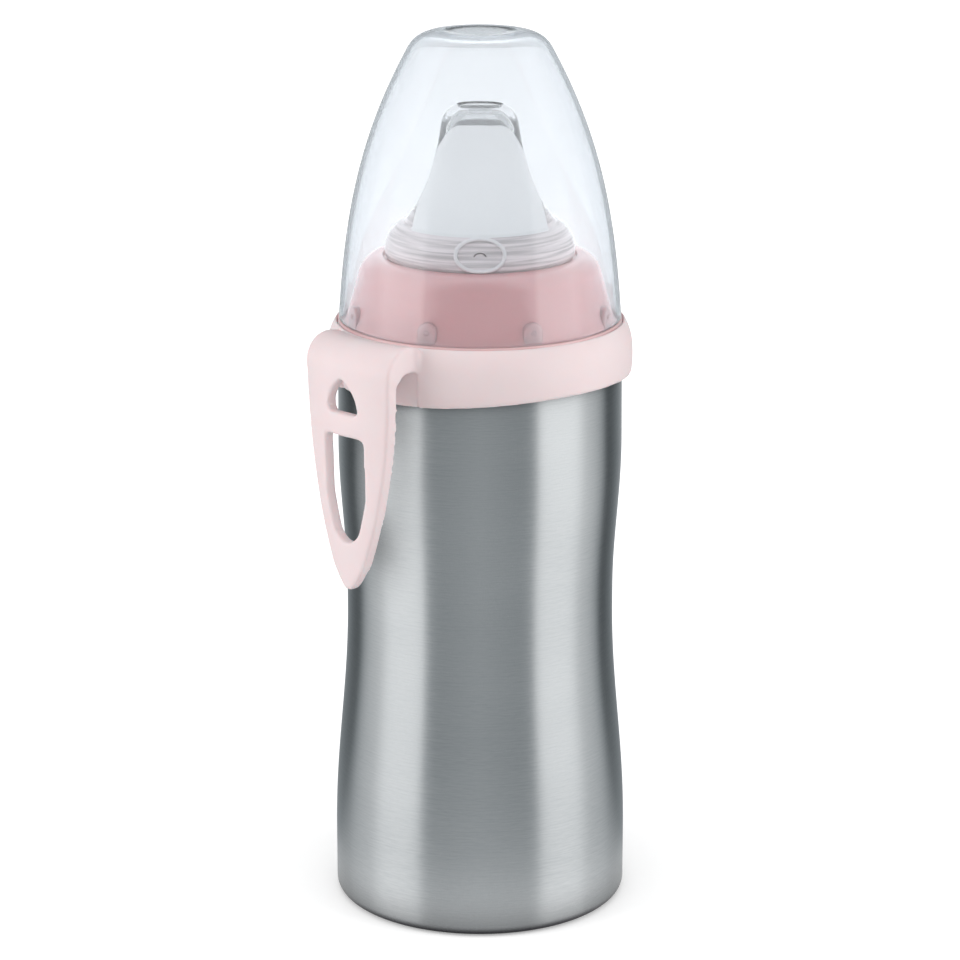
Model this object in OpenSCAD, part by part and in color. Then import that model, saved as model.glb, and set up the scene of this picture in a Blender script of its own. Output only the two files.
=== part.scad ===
// Insulated toddler bottle: a waisted double-walled steel body, a loose clip ring, a screw ring,
// a soft drinking spout with a vent, and a clear push-on cap.
// Origin: centre of the base, on the surface the bottle stands on. +Z is up, -Y is the front of the spout.

/* [Steel body] */
// Radius of the body at its foot
base_r = 32.9; // [31:0.1:36]
// Height of the straight foot
foot_h = 15; // [8:1:25]
// Radius of the rounded bottom edge
base_edge_r = 2.4; // [1.2:0.1:4]
// Radius of the waist
waist_r = 29.85; // [28.6:0.05:31]
// Height of the middle of the waist
waist_z = 70; // [55:1:80]
// Length of the straight part of the waist
waist_len = 4; // [2:0.5:10]
// Radius of the swell above the waist
chest_r = 31.55; // [31.2:0.05:32.4]
// Height of the swell above the waist
chest_z = 106; // [98:1:112]
// Radius of the body where the clip ring sits on it
collar_r = 31.4; // [31.1:0.05:31.8]
// Radius of the rounded shoulder
shoulder_edge_r = 4.2; // [2.5:0.1:5]
// Height of the flat shoulder
shoulder_z = 128.6; // [126:0.2:140]
// Thickness of the outer steel wall
shell_t = 0.5; // [0.3:0.05:0.8]

/* [Liner and neck] */
// Inner radius of the liner
liner_r = 25.6; // [24.5:0.1:26.5]
// Thickness of the liner's steel wall
liner_t = 0.45; // [0.3:0.05:0.7]
// Radius of the liner's bottom corner
liner_corner_r = 7; // [3:0.5:12]
// Drop from the shoulder to the top of the liner's taper
liner_taper_drop = 3; // [2:0.2:5]
// Height of the liner's taper up to the neck
liner_taper_h = 8; // [4:0.5:14]
// Vacuum gap under the liner
bottom_gap = 3.4; // [2:0.2:8]
// Outer radius of the neck
neck_r = 24.6; // [24:0.1:25]
// Height of the neck above the shoulder
neck_h = 14.9; // [14.6:0.1:18]
// Radius of the rolled lip's bead
lip_bead_r = 0.6; // [0.5:0.05:0.8]
// Height of the shell's upstand welded to the neck
weld_h = 2; // [1:0.2:3]

/* [Base] */
// Width of the flat rim under the shell
rim_w = 1; // [0.5:0.1:3]
// Height of the sealed vacuum base
vacuum_base_z = 3.2; // [3:0.1:5]
// Height of the vacuum base's rim
vacuum_rim_h = 2; // [1.2:0.1:4]
// Thickness of the vacuum base and of the base cover
base_plate_t = 0.6; // [0.4:0.05:0.8]
// Height of the base cover's rim
cover_rim_h = 2.5; // [1.5:0.1:2.5]
// Radius of the sealing bead in the vacuum base
seal_r = 2.6; // [1.5:0.1:5]
// Height of the sealing bead
seal_h = 1; // [0.5:0.1:1.5]
// Radius of the getter pill
getter_r = 4; // [2:0.2:6]
// Thickness of the getter pill
getter_h = 1.2; // [0.6:0.1:1.6]
// Distance of the getter from the axis
getter_offset = 12; // [8:1:18]

/* [Thread] */
// Pitch of the thread
thread_pitch = 4; // [3.8:0.1:5]
// Depth of each thread
thread_depth = 1; // [0.7:0.05:1.1]
// Width of a thread at its root
thread_root_w = 2.1; // [1.6:0.1:2.2]
// Width of a thread at its crest
thread_crest_w = 1.2; // [0.8:0.1:1.3]
// Turns of thread on the neck
neck_turns = 1.25; // [1:0.05:1.3]
// Turns of thread in the screw ring
ring_turns = 1; // [0.75:0.05:1]
// Height of the neck thread's start above the shoulder
thread_start = 6.9; // [6.6:0.1:7.4]
// Radial clearance between the threads
thread_clear = 0.3; // [0.2:0.05:0.4]

/* [Clip ring] */
// Thickness of the band around the screw ring's flange
band_t = 2.25; // [2:0.05:4]
// Height of the band's widest place below the flat shoulder
band_bulge_drop = 2.6; // [1:0.2:4]
// Height of the band's lower edge below the shoulder, on the sides away from the clip
band_skirt = 6.25; // [5:0.25:9]
// How much lower the band's edge is at the clip
band_dip = 2.2; // [0.5:0.1:4]
// Thickness of the ledge held under the screw ring
ledge_t = 3.4; // [2.4:0.1:4.4]
// Clearance around the bottle's shoulder and under the screw ring
clip_clear = 0.2; // [0.15:0.05:0.3]
// Radial clearance between the band and the bottle
band_clear = 0.3; // [0.2:0.05:0.4]
// Gap between the screw ring's flange and the band's lip around it
lip_gap = 0.25; // [0.2:0.05:0.4]
// Height of the band's lip above the flange's underside
lip_h = 1.2; // [0.8:0.1:1.4]
// How far the band draws in at its upper edge
band_top_in = 1.9; // [1:0.1:2]
// How far the band draws in at its lower edge
band_foot_in = 0.9; // [0.4:0.1:1.2]
// Direction of the clip, as an angle from +X
clip_turn = 225; // [0:5:355]
// Outer radius of the clip's plate at its tip
clip_r = 39.2; // [38.8:0.1:43]
// How much farther out the plate is at its shoulder than at its tip
clip_lean = 3; // [1:0.25:4]
// Thickness of the clip's plate
clip_t = 2.7; // [2:0.1:3]
// Width of the clip
clip_w = 25; // [20:0.5:30]
// Width of the clip's arm where it leaves the band
arm_root_w = 19.6; // [14:0.2:20]
// Length of the clip, from the flat shoulder to its tip
clip_len = 49; // [46:0.5:70]
// Height of the clip's shoulder above the flat shoulder of the bottle
arm_rise = 5.9; // [5.4:0.1:7]
// Thickness of the arm
arm_t = 5.9; // [4.5:0.1:6]
// Outer radius of the clip's rounded shoulder
arm_edge_r = 6; // [5:0.2:7]
// Radius of the clip's tip
clip_tip_r = 3.6; // [2:0.1:4.4]
// Width of the strap slot
slot_w = 12.4; // [9:0.2:14]
// Width of the clip's side rim beside the slot
slot_rim = 3.7; // [3:0.1:5]
// Length of plate between the slot and the tip
slot_tip_web = 10.7; // [7:0.1:14]
// Height of the slot's upper edge below the flat shoulder
slot_top_drop = 14.5; // [13.5:0.1:18]
// Height of the bar between the slot and the upper window
bar_h = 5.1; // [3:0.1:6]
// Width of the upper window
window_w = 8.8; // [5:0.2:10]
// Height of the upper window
window_h = 7; // [4:0.2:7.4]
// Depth of the recess in the band behind the clip
recess_depth = 1.35; // [0.5:0.05:1.5]
// Half of the angle that the recess takes
recess_half = 21.5; // [20.5:0.5:26]

/* [Screw ring] */
// Thickness of the ring's flange
flange_t = 1.5; // [1:0.1:2]
// How far the flange stands out past the cap's rim
flange_lip = 0.1; // [0.05:0.05:0.4]
// Thickness of the ring's top under the spout's collar
ring_top_t = 1.9; // [1.6:0.1:2.4]
// Height of the rim around the collar's seat
ring_rim_h = 0.9; // [0.5:0.1:1.2]
// Inward slope of the ring's wall, in mm per mm of height
ring_slope = 0.28; // [0.24:0.01:0.3]
// Radius of the ring's rounded upper edge
ring_edge_r = 4.8; // [4:0.1:5.2]
// Radial gap between the ring's foot and the cap
cap_fit_gap = 0.9; // [0.7:0.05:1.1]
// Number of pads that centre the cap
pad_count = 8; // [4:1:12]
// Width of a pad
pad_w = 4.4; // [3:0.1:5]
// Height of a pad above the flange
pad_h = 4.6; // [3:0.1:6]
// Radius of the bump on each pad
bump_r = 0.8; // [0.5:0.05:0.9]
// Height of the bump above its pad
bump_h = 0.3; // [0.1:0.05:0.4]
// Gap between the bumps and the cap
bump_clear = 0.35; // [0.3:0.05:0.5]

/* [Spout] */
// Radius of the spout's neck, in the hole of the ring
spout_neck_r = 18.4; // [17:0.1:18.6]
// Radial clearance of the spout's neck in the ring
spout_clear = 0.3; // [0.2:0.05:0.4]
// Clearance above and below the spout's clamped flange
seal_clear = 0.15; // [0.05:0.05:0.3]
// Thickness of the sealing flange that the ring clamps on the lip
seal_flange_t = 1.4; // [1:0.1:2]
// Radius of the sealing flange
seal_flange_r = 24; // [23.6:0.1:24.1]
// Largest radius of the collar over the ring
spout_collar_r = 20.9; // [20.4:0.1:21.2]
// Height of the collar
spout_collar_h = 8; // [7:0.1:9]
// Radius of the foot of the bill
bill_foot_r = 17.4; // [16:0.1:18]
// Height of the bill above the collar
bill_h = 25.9; // [20:0.1:30]
// Half of the bill's width at its tip
bill_tip_hw = 7.8; // [6.5:0.1:9]
// Half of the bill's depth at its tip
bill_tip_hd = 4.6; // [4:0.1:6]
// Widening of the bill from tip to foot, before its flare
bill_taper = 4.1; // [2:0.1:5]
// Wall of the spout
spout_wall = 1.9; // [1.4:0.1:2.2]
// Thickness of the mouth's membrane
mouth_t = 1.3; // [0.8:0.1:2]
// Depth of the dish around the mouth
mouth_dish = 1.2; // [0.5:0.1:1.5]
// Length of the mouth's slit
slit_len = 5; // [3:0.2:6]
// Width of each slit
slit_w = 0.4; // [0.3:0.05:0.6]
// Width of the vent's oval cup
vent_w = 11.2; // [8:0.1:12]
// Height of the vent's oval cup, along the slope of the collar
vent_h = 8.2; // [6:0.1:8.4]
// Upward tilt of the vent's axis
vent_tilt = 30; // [25:1:36]
// Depth of the vent's cup
vent_depth = 0.9; // [0.5:0.1:1.2]
// Wall around the vent's cup
vent_wall = 0.75; // [0.5:0.05:1]

/* [Cap] */
// Outer radius of the cap's rim
cap_r = 31.15; // [30.8:0.05:31.6]
// Height of the cap
cap_h = 62.9; // [58:0.1:75]
// Thickness of the cap's wall
cap_t = 1; // [0.7:0.05:1.2]
// Thickness of the cap's top
cap_top_t = 1.6; // [1.2:0.1:2.4]
// Gap between the cap's rim and the flange
cap_seat = 0.1; // [0.05:0.05:0.3]
// How far the cap's shoulder lies inside its rim
cap_shoulder_in = 15.5; // [13:0.1:16]
// Drop from the cap's top to its shoulder
cap_shoulder_drop = 3.6; // [3:0.1:5]
// Width of the rounded edge from the shoulder to the flat top
cap_edge_w = 7.4; // [6.5:0.1:7.6]
// Width of the flat ring around the dished disc in the cap's top
cap_disc_rim = 0.35; // [0.15:0.05:4]
// Depth of the dished disc
cap_disc_depth = 0.4; // [0.2:0.1:0.8]

/* [Hidden] */
$fn = 96;

// Clearance between pieces that are welded, soldered or glued together
joint_gap = 0.05;
// How far a rib or boss runs into the wall that carries it
sink = 0.35;
far = 60;

// Levels of the neck and of what is screwed on it
lip_z = shoulder_z + neck_h;
ledge_z0 = shoulder_z + clip_clear;
ledge_z1 = ledge_z0 + ledge_t;
flange_z0 = ledge_z1 + clip_clear;
flange_z1 = flange_z0 + flange_t;
seal_z0 = lip_z + seal_clear;
seal_z1 = seal_z0 + seal_flange_t;
ring_inner_z = seal_z1 + seal_clear;
ring_seat_z = ring_inner_z + ring_top_t;
ring_z1 = ring_seat_z + ring_rim_h;
cap_z0 = flange_z1 + cap_seat;
cap_z1 = cap_z0 + cap_h;
collar_z0 = ring_seat_z + seal_clear;
collar_z1 = collar_z0 + spout_collar_h;
bill_z1 = collar_z1 + bill_h;

// Radii that follow from the fits
rim_in_r = base_r - base_edge_r - rim_w;
neck_crest_r = neck_r + thread_depth;
ring_bore_r = neck_crest_r + thread_clear;
ring_lip_bore_r = neck_r + spout_clear;
ring_seal_bore_r = seal_flange_r + spout_clear;
ring_hole_r = spout_neck_r + spout_clear;
ring_seat_r = spout_collar_r + spout_clear;
ring_foot_r = cap_r - cap_t - cap_fit_gap;
flange_r = cap_r + flange_lip;
ledge_r = neck_crest_r + 0.5;
cap_disc_r = cap_r - cap_shoulder_in - cap_edge_w - cap_disc_rim;
lip_in_r = flange_r + lip_gap;
band_r = lip_in_r + band_t;
band_in_r = collar_r + band_clear;

function mix(a, b, t) = a + (b - a) * t;
function ease(t) = (1 - cos(180 * t)) / 2;
function flip(points) = [for (i = [len(points) - 1:-1:0]) points[i]];
function arc(c, r, a0, a1, n) =
    [for (i = [0:n]) let (a = mix(a0, a1, i / n)) [c[0] + r * cos(a), c[1] + r * sin(a)]];
function cubic(a, b, c, d, n) =
    [for (i = [0:n]) let (t = i / n, s = 1 - t) s^3 * a + 3 * s^2 * t * b + 3 * s * t^2 * c + t^3 * d];

// ---------------------------------------------------------------- steel body

waist_z0 = waist_z - waist_len / 2;
waist_z1 = waist_z + waist_len / 2;
body_top_z = shoulder_z - shoulder_edge_r;

// Outer radius of the steel body at a height
function body_r(z) =
    z < foot_h ? base_r :
    z < waist_z0 ? mix(base_r, waist_r, ease((z - foot_h) / (waist_z0 - foot_h))) :
    z < waist_z1 ? waist_r :
    z < chest_z ? mix(waist_r, chest_r, ease((z - waist_z1) / (chest_z - waist_z1))) :
    mix(chest_r, collar_r, (z - chest_z) / (body_top_z - chest_z));

// Heights at which the wall is drawn
function wall_heights() = concat(
    [for (i = [0:10]) mix(foot_h, waist_z0, i / 10)],
    [for (i = [0:7]) mix(waist_z1, chest_z, i / 7)],
    [body_top_z]);

function shell_path(t) = concat(
    arc([base_r - base_edge_r, base_edge_r], base_edge_r - t, -90, 0, 6),
    [for (z = wall_heights()) [body_r(z) - t, z]],
    arc([collar_r - shoulder_edge_r, body_top_z], shoulder_edge_r - t, 12, 90, 7));

module outer_shell() {
    upstand_in = neck_r + joint_gap;
    color("silver") rotate_extrude() polygon(concat(
        [[rim_in_r, 0]],
        shell_path(0),
        [[upstand_in + shell_t, shoulder_z], [upstand_in + shell_t, shoulder_z + weld_h]],
        [[upstand_in, shoulder_z + weld_h], [upstand_in, shoulder_z - shell_t]],
        flip(shell_path(shell_t)),
        [[rim_in_r, shell_t]]));
}

// ---------------------------------------------------------------- liner and neck

liner_z0 = vacuum_base_z + base_plate_t + bottom_gap;
liner_taper_z1 = shoulder_z - liner_taper_drop;
liner_taper_z0 = liner_taper_z1 - liner_taper_h;

function liner_path(t) = concat(
    [[0, liner_z0 + t]],
    arc([liner_r + liner_t - liner_corner_r, liner_z0 + liner_corner_r], liner_corner_r - t, -90, 0, 8),
    [for (i = [0:8]) [mix(liner_r + liner_t, neck_r, ease(i / 8)) - t,
                      mix(liner_taper_z0, liner_taper_z1, i / 8)]]);

module inner_liner() {
    bead_c = [neck_r - lip_bead_r, lip_z - lip_bead_r];
    color("gainsboro") union() {
        rotate_extrude() polygon(concat(
            liner_path(0),
            arc(bead_c, lip_bead_r, 0, 180, 12),
            [[bead_c[0] - lip_bead_r, bead_c[1] - 0.4], [neck_r - liner_t, bead_c[1] - 1]],
            flip(liner_path(liner_t))));
        thread_rib(neck_r, 1, shoulder_z + thread_start, 0, neck_turns);
    }
}

// One helical rib on a cylinder of radius r. side is 1 for a rib outside the wall and -1 for one inside it.
// The rib starts at height z and angle turn0, and fades out over its first and last steps.
module thread_rib(r, side, z, turn0, turns) {
    steps = 40;
    fade = 5;
    n = round(steps * turns);
    sections = [for (i = [0:n]) let (
        a = turn0 + 360 * turns * i / n,
        h = z + thread_pitch * turns * i / n,
        k = max(0.12, min(1, i / fade, (n - i) / fade)),
        root = r - side * sink,
        crest = r + side * thread_depth * k,
        hw = thread_root_w / 2,
        cw = thread_crest_w / 2)
        [[root * cos(a), root * sin(a), h - hw], [crest * cos(a), crest * sin(a), h - cw],
         [crest * cos(a), crest * sin(a), h + cw], [root * cos(a), root * sin(a), h + hw]]];
    points = [for (s = sections) for (p = s) p];
    sides = [for (i = [0:n - 1]) for (j = [0:3]) let (
        a = 4 * i + j,
        b = 4 * i + (j + 1) % 4,
        c = b + 4,
        d = a + 4)
        for (f = [[a, b, c], [a, c, d]]) f];
    last = 4 * n;
    ends = [[0, 2, 1], [0, 3, 2], [last, last + 1, last + 2], [last, last + 2, last + 3]];
    faces = concat(sides, ends);
    polyhedron(points, side > 0 ? faces : [for (f = faces) [f[0], f[2], f[1]]], convexity = 6);
}

// ---------------------------------------------------------------- base

module vacuum_base() {
    r = base_r - shell_t - joint_gap;
    z = vacuum_base_z;
    color("silver") rotate_extrude() polygon([
        [0, z], [r, z], [r, z + vacuum_rim_h], [r - base_plate_t, z + vacuum_rim_h],
        [r - base_plate_t, z + base_plate_t], [0, z + base_plate_t]]);
}

module base_cover() {
    r = rim_in_r - 2 * joint_gap;
    t = base_plate_t;
    color("silver") rotate_extrude() polygon([
        [0, 0], [r, 0], [r, cover_rim_h], [r - t, cover_rim_h], [r - t, t], [0, t]]);
}

module sealing_bead() {
    z1 = vacuum_base_z - joint_gap;
    color("dimgray") rotate_extrude() polygon([
        [0, z1 - seal_h], [seal_r * 0.6, z1 - seal_h], [seal_r, z1 - seal_h / 2], [seal_r, z1], [0, z1]]);
}

module getter() {
    color("darkgray") translate([getter_offset, 0, vacuum_base_z + base_plate_t + joint_gap])
        cylinder(r = getter_r, h = getter_h);
}

// ---------------------------------------------------------------- clip ring

band_z1 = flange_z0 + lip_h;
band_bulge_z = shoulder_z - band_bulge_drop;
band_z0 = shoulder_z - band_skirt - band_dip;
clip_tip_z = shoulder_z - clip_len;
arm_z1 = shoulder_z + arm_rise;
arm_z0 = arm_z1 - arm_t;
arm_edge_z = arm_z1 - arm_edge_r;
slot_z1 = shoulder_z - slot_top_drop;
slot_z0 = clip_tip_z + slot_tip_web;
window_z0 = slot_z1 + bar_h;
// Height at which the clip reaches its full width
clip_full_z = shoulder_z - 1.6;

// Outer radius of the band at a height
function band_edge_r(z) =
    z > band_bulge_z
    ? band_r - band_top_in * ((z - band_bulge_z) / (band_z1 - band_bulge_z))^2.6
    : band_r - band_foot_in * ((band_bulge_z - z) / (band_bulge_z - band_z0))^3;

// Outer radius of the clip's plate at a height
function plate_r(z) = mix(clip_r, clip_r + clip_lean, (z - clip_tip_z) / (arm_edge_z - clip_tip_z));

// Half of the clip's width at a height
function clip_hw(z) =
    let (
        tip_c = clip_tip_z + clip_tip_r,
        u = max(0, min(1, (clip_full_z - z) / (clip_full_z - tip_c))),
        k = z < tip_c ? sqrt(max(0, 1 - ((tip_c - z) / clip_tip_r)^2)) : 1)
    k * (clip_tip_r + (clip_w / 2 - clip_tip_r) * (1 - u^2)^0.9);

// Half of the slot's width at a height
function slot_hw(z) =
    let (
        low = min(1, (z - slot_z0) / 3.2),
        high = min(1, (slot_z1 - z) / 1.4))
    min(slot_w / 2, clip_hw(z) - slot_rim) * sqrt(1 - (1 - low)^2) - 1.4 * (1 - sqrt(1 - (1 - high)^2));

function mirrored(points) = concat(points, flip([for (p = points) [-p[0], p[1]]]));

module band() {
    recess_r = band_r - recess_depth;
    dip_r = band_r^2 / (2 * band_dip);
    difference() {
        rotate_extrude() polygon(concat(
            [[band_in_r, band_z0], [band_in_r, ledge_z0], [ledge_r, ledge_z0], [ledge_r, ledge_z1],
             [lip_in_r, ledge_z1], [lip_in_r, band_z1 - 0.3], [lip_in_r + 0.15, band_z1]],
            [for (i = [0:7]) let (z = mix(band_z1, band_bulge_z, i / 7)) [band_edge_r(z), z]],
            [for (i = [1:5]) let (z = mix(band_bulge_z, band_z0, i / 5)) [band_edge_r(z), z]]));
        // wavy lower edge, lowest at the clip and opposite it
        translate([0, 0, shoulder_z - band_skirt - dip_r]) rotate([90, 0, 0])
            cylinder(r = dip_r, h = 2 * far, center = true, $fn = 360);
        // recess behind the clip
        intersection() {
            rotate_extrude() translate([recess_r, 0]) square([far, arm_z0]);
            wedge(recess_half);
        }
    }
}

// Sector of the plane about +X, as a tall solid
module wedge(half) {
    linear_extrude(height = 2 * far + shoulder_z)
        polygon([[0, 0], [far * cos(half), -far * sin(half)], [far * 1.2, 0], [far * cos(half), far * sin(half)]]);
}

// Arm, rounded shoulder and plate of the clip, as one ring before it is cut to its outline
module clip_section() {
    inner_edge_r = 3;
    outer_c = [plate_r(arm_edge_z) - arm_edge_r, arm_edge_z];
    inner_c = [plate_r(arm_z0 - inner_edge_r) - clip_t - inner_edge_r, arm_z0 - inner_edge_r];
    rotate_extrude() polygon(concat(
        [[flange_r - 0.2, ledge_z0 + 0.4], [flange_r - 0.2, ledge_z1 - 0.3],
         [band_r - 1.6, band_z1 - 0.5], [band_r + 0.2, arm_z1 - 0.25]],
        arc(outer_c, arm_edge_r, 90, 0, 10),
        [[plate_r(clip_tip_z), clip_tip_z], [plate_r(clip_tip_z) - clip_t, clip_tip_z]],
        arc(inner_c, inner_edge_r, 0, 90, 6),
        [[band_r - recess_depth - 0.4, arm_z0]]));
}

module clip_outline() {
    polygon(mirrored(concat(
        [[0, clip_tip_z]],
        arc([0, clip_tip_z + clip_tip_r], clip_tip_r, -80, -10, 7),
        [for (i = [0:16]) let (z = mix(clip_tip_z + clip_tip_r, clip_full_z, i / 16)) [clip_hw(z), z]],
        [[clip_w / 2, arm_z1 + 1]])));
}

module clip_windows() {
    side = window_w / 2;
    polygon(mirrored(concat(
        [[side - 0.7, window_z0], [side, window_z0 + 0.7]],
        cubic([side, window_z0 + 1], [side, window_z0 + window_h * 0.5],
              [side * 0.55, window_z0 + window_h * 0.8], [0.3, window_z0 + window_h], 8))));
    polygon(mirrored([for (i = [0:22]) let (
        t = i / 22,
        z = mix(slot_z0 + 0.02, slot_z1 - 0.02, t < 0.5 ? 2 * t^2 : 1 - 2 * (1 - t)^2))
        [slot_hw(z), z]]));
}

module clip_ring() {
    color("mistyrose") rotate([0, 0, clip_turn]) union() {
        band();
        intersection() {
            clip_section();
            rotate([90, 0, 90]) linear_extrude(height = far) difference() {
                clip_outline();
                clip_windows();
            }
            arm_plan();
        }
    }
}

// Plan of the clip: the arm narrows towards the band
module arm_plan() {
    full_x = clip_r - clip_t - 2;
    linear_extrude(height = 2 * shoulder_z) polygon([
        [band_r - 4, -arm_root_w / 2], [full_x, -clip_w / 2 - 0.5], [far, -clip_w / 2 - 0.5],
        [far, clip_w / 2 + 0.5], [full_x, clip_w / 2 + 0.5], [band_r - 4, arm_root_w / 2]]);
}

// ---------------------------------------------------------------- screw ring

// Height of the ring's thread at angle 0: half a pitch below the neck's
ring_thread_z = shoulder_z + thread_start - thread_pitch / 2;
ring_thread_turn = 60;
// The bore narrows to the lip above the neck's thread
lip_bore_z = shoulder_z + thread_start + thread_pitch * neck_turns + thread_root_w / 2 + 0.4;

module screw_ring() {
    foot_z = flange_z1 + 1;
    lean_a = atan(ring_slope);
    edge_z = ring_z1 - ring_edge_r;
    wall_top_z = edge_z + ring_edge_r * sin(lean_a);
    edge_c_r = ring_foot_r - ring_slope * (wall_top_z - foot_z) - ring_edge_r * cos(lean_a);
    color("lightpink") union() {
        rotate_extrude() polygon(concat(
            [[ring_bore_r, flange_z0], [flange_r - 0.2, flange_z0]],
            [[flange_r, flange_z0 + 0.2]],
            arc([flange_r - 0.4, flange_z1 - 0.4], 0.4, 0, 90, 4),
            [[ring_foot_r + 0.7, flange_z1], [ring_foot_r + 0.2, foot_z - 0.7], [ring_foot_r, foot_z]],
            arc([edge_c_r, edge_z], ring_edge_r, lean_a, 90, 9),
            [[ring_seat_r + 0.2, ring_z1], [ring_seat_r, ring_seat_z], [ring_hole_r + 0.3, ring_seat_z],
             [ring_hole_r, ring_seat_z - 0.3], [ring_hole_r, ring_inner_z]],
            [[ring_seal_bore_r, ring_inner_z], [ring_seal_bore_r, seal_z0]],
            [[ring_lip_bore_r, seal_z0], [ring_lip_bore_r, lip_bore_z], [ring_bore_r, lip_bore_z]]));
        thread_rib(ring_bore_r, -1, ring_thread_z + thread_pitch * ring_thread_turn / 360,
                   ring_thread_turn, ring_turns);
        for (i = [0:pad_count - 1]) rotate([0, 0, 360 * (i + 0.5) / pad_count - 90]) pad();
    }
}

// Pad with a rounded top and a small bump, standing on the flange
module pad() {
    face_r = cap_r - cap_t - bump_clear - bump_h;
    root_r = ring_bore_r + 0.6;
    round_z = flange_z1 + pad_h - pad_w / 2;
    translate([root_r, 0, 0]) rotate([90, 0, 90]) linear_extrude(height = face_r - root_r) {
        translate([-pad_w / 2, flange_z1 - 0.3]) square([pad_w, round_z - flange_z1 + 0.3]);
        translate([0, round_z]) circle(d = pad_w);
    }
    translate([face_r - bump_r + bump_h, 0, round_z]) sphere(r = bump_r);
}

// ---------------------------------------------------------------- spout

bill_rings = 13;
bill_sides = 48;
bill_foot_z = collar_z1 - 0.8;
bill_len = bill_z1 - bill_foot_z;
tip_len = 4;

// Half width and half depth of the bill at a share t of its length, from foot to tip
function bill_half(t, tip, taper) =
    tip + taper * (1 - t) + (bill_foot_r - tip - taper) * (1 - t)^3.7;

// One section of the bill, rounder at its foot than at its tip. inset is the distance inside the outer skin.
function bill_section(t, inset) =
    let (
        z = bill_foot_z + bill_len * t,
        end = max(0, min(1, (bill_z1 - inset - z) / tip_len)),
        k = 0.42 + 0.58 * sqrt(1 - (1 - end)^2),
        hw = (bill_half(t, bill_tip_hw, bill_taper) - inset) * k,
        hd = (bill_half(t, bill_tip_hd, bill_taper * 0.9) - inset) * k,
        e = mix(1, 0.72, min(1, t * 1.5)))
    [for (i = [0:bill_sides - 1]) let (a = 360 * i / bill_sides)
        [hw * sign(cos(a)) * abs(cos(a))^e, hd * sign(sin(a)) * abs(sin(a))^e, z]];

module bill_solid(inset, t0, t1) {
    tip_t = 1 - (tip_len + inset) / bill_len;
    shares = concat([t0], [for (i = [1:bill_rings]) let (t = tip_t * i / bill_rings) if (t > t0 + 0.02) t],
                    [for (i = [1:4]) mix(tip_t, t1, sin(90 * i / 4))]);
    n = bill_sides;
    last = len(shares) - 1;
    points = [for (t = shares) for (p = bill_section(t, inset)) p];
    walls = [for (j = [0:last - 1]) for (i = [0:n - 1]) let (
        a = j * n + i,
        b = j * n + (i + 1) % n)
        for (f = [[a, a + n, b + n], [a, b + n, b]]) f];
    polyhedron(points, concat([[for (i = [0:n - 1]) i]], walls, [[for (i = [n - 1:-1:0]) last * n + i]]),
               convexity = 4);
}

module spout() {
    cavity_r = spout_neck_r - spout_wall;
    roof_t = 1 - (mouth_dish + mouth_t) / bill_len;
    dish_r = bill_tip_hd * 0.55;
    color("ghostwhite") difference() {
        union() {
            rotate_extrude() polygon(concat(
                [[cavity_r, seal_z0], [seal_flange_r, seal_z0], [seal_flange_r, seal_z1],
                 [spout_neck_r, seal_z1], [spout_neck_r, collar_z0]],
                collar_path(),
                [[cavity_r - 1.5, collar_z1 - 0.4], [cavity_r, collar_z1 - 3]]));
            bill_solid(0, 0, 1);
            vent_cup();
        }
        translate([0, 0, seal_z0 - 1]) cylinder(r = cavity_r, h = bill_foot_z - seal_z0 - 0.8);
        translate([0, 0, bill_foot_z - 2]) cylinder(r1 = cavity_r, r2 = bill_foot_r - spout_wall, h = 2.1);
        bill_solid(spout_wall, 0, roof_t);
        // dish around the mouth and its slit
        translate([0, 0, bill_z1 - mouth_dish]) linear_extrude(height = mouth_dish + 1)
            mouth_oval(dish_r);
        translate([-slit_len / 2, -slit_w / 2, bill_z1 - mouth_dish - mouth_t - 1])
            cube([slit_len, slit_w, mouth_t + 2]);
        vent_cut();
    }
}

// Outer edge of the collar, from under its rim to its top
function collar_path() = concat(
    cubic([spout_collar_r - 1.6, collar_z0], [spout_collar_r - 0.4, collar_z0],
          [spout_collar_r, collar_z0 + 0.8], [spout_collar_r, collar_z0 + 2], 5),
    cubic([spout_collar_r, collar_z0 + 2.2], [spout_collar_r, mix(collar_z0, collar_z1, 0.6)],
          [bill_foot_r + 1.6, collar_z1 - 0.8], [bill_foot_r - 0.2, collar_z1], 6));

module mouth_oval(r) {
    half = bill_tip_hw * 0.3;
    translate([-half, 0]) circle(r = r);
    translate([half, 0]) circle(r = r);
    translate([-half, -r]) square([2 * half, 2 * r]);
}

// Middle of the vent's face, on the collar's front
vent_c = [0, -spout_collar_r + 1, mix(collar_z0, collar_z1, 0.54)];
vent_rise = 0.5;

module oval(w, h) {
    polygon([for (i = [0:39]) [w / 2 * cos(9 * i), h / 2 * sin(9 * i)]]);
}

// Cup of the vent, standing out of the collar's front and clear of the ring's rim
module vent_cup() {
    intersection() {
        translate(vent_c) rotate([90 - vent_tilt, 0, 0]) translate([0, 0, -2])
            linear_extrude(height = 2 + vent_rise) oval(vent_w, vent_h);
        translate([-far, -far, ring_z1 + seal_clear]) cube([2 * far, far, far]);
    }
}

// Hollow of the vent's cup, and the slit from it into the spout
module vent_cut() {
    slit_depth = spout_collar_r - spout_neck_r + spout_wall + 1.6;
    translate(vent_c) rotate([90 - vent_tilt, 0, 0]) {
        translate([0, 0, vent_rise - vent_depth])
            linear_extrude(height = 3) oval(vent_w - 2 * vent_wall, vent_h - 2 * vent_wall);
        translate([-slit_len / 4, -slit_w / 2, -slit_depth]) cube([slit_len / 2, slit_w, slit_depth]);
    }
}

// ---------------------------------------------------------------- cap

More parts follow.
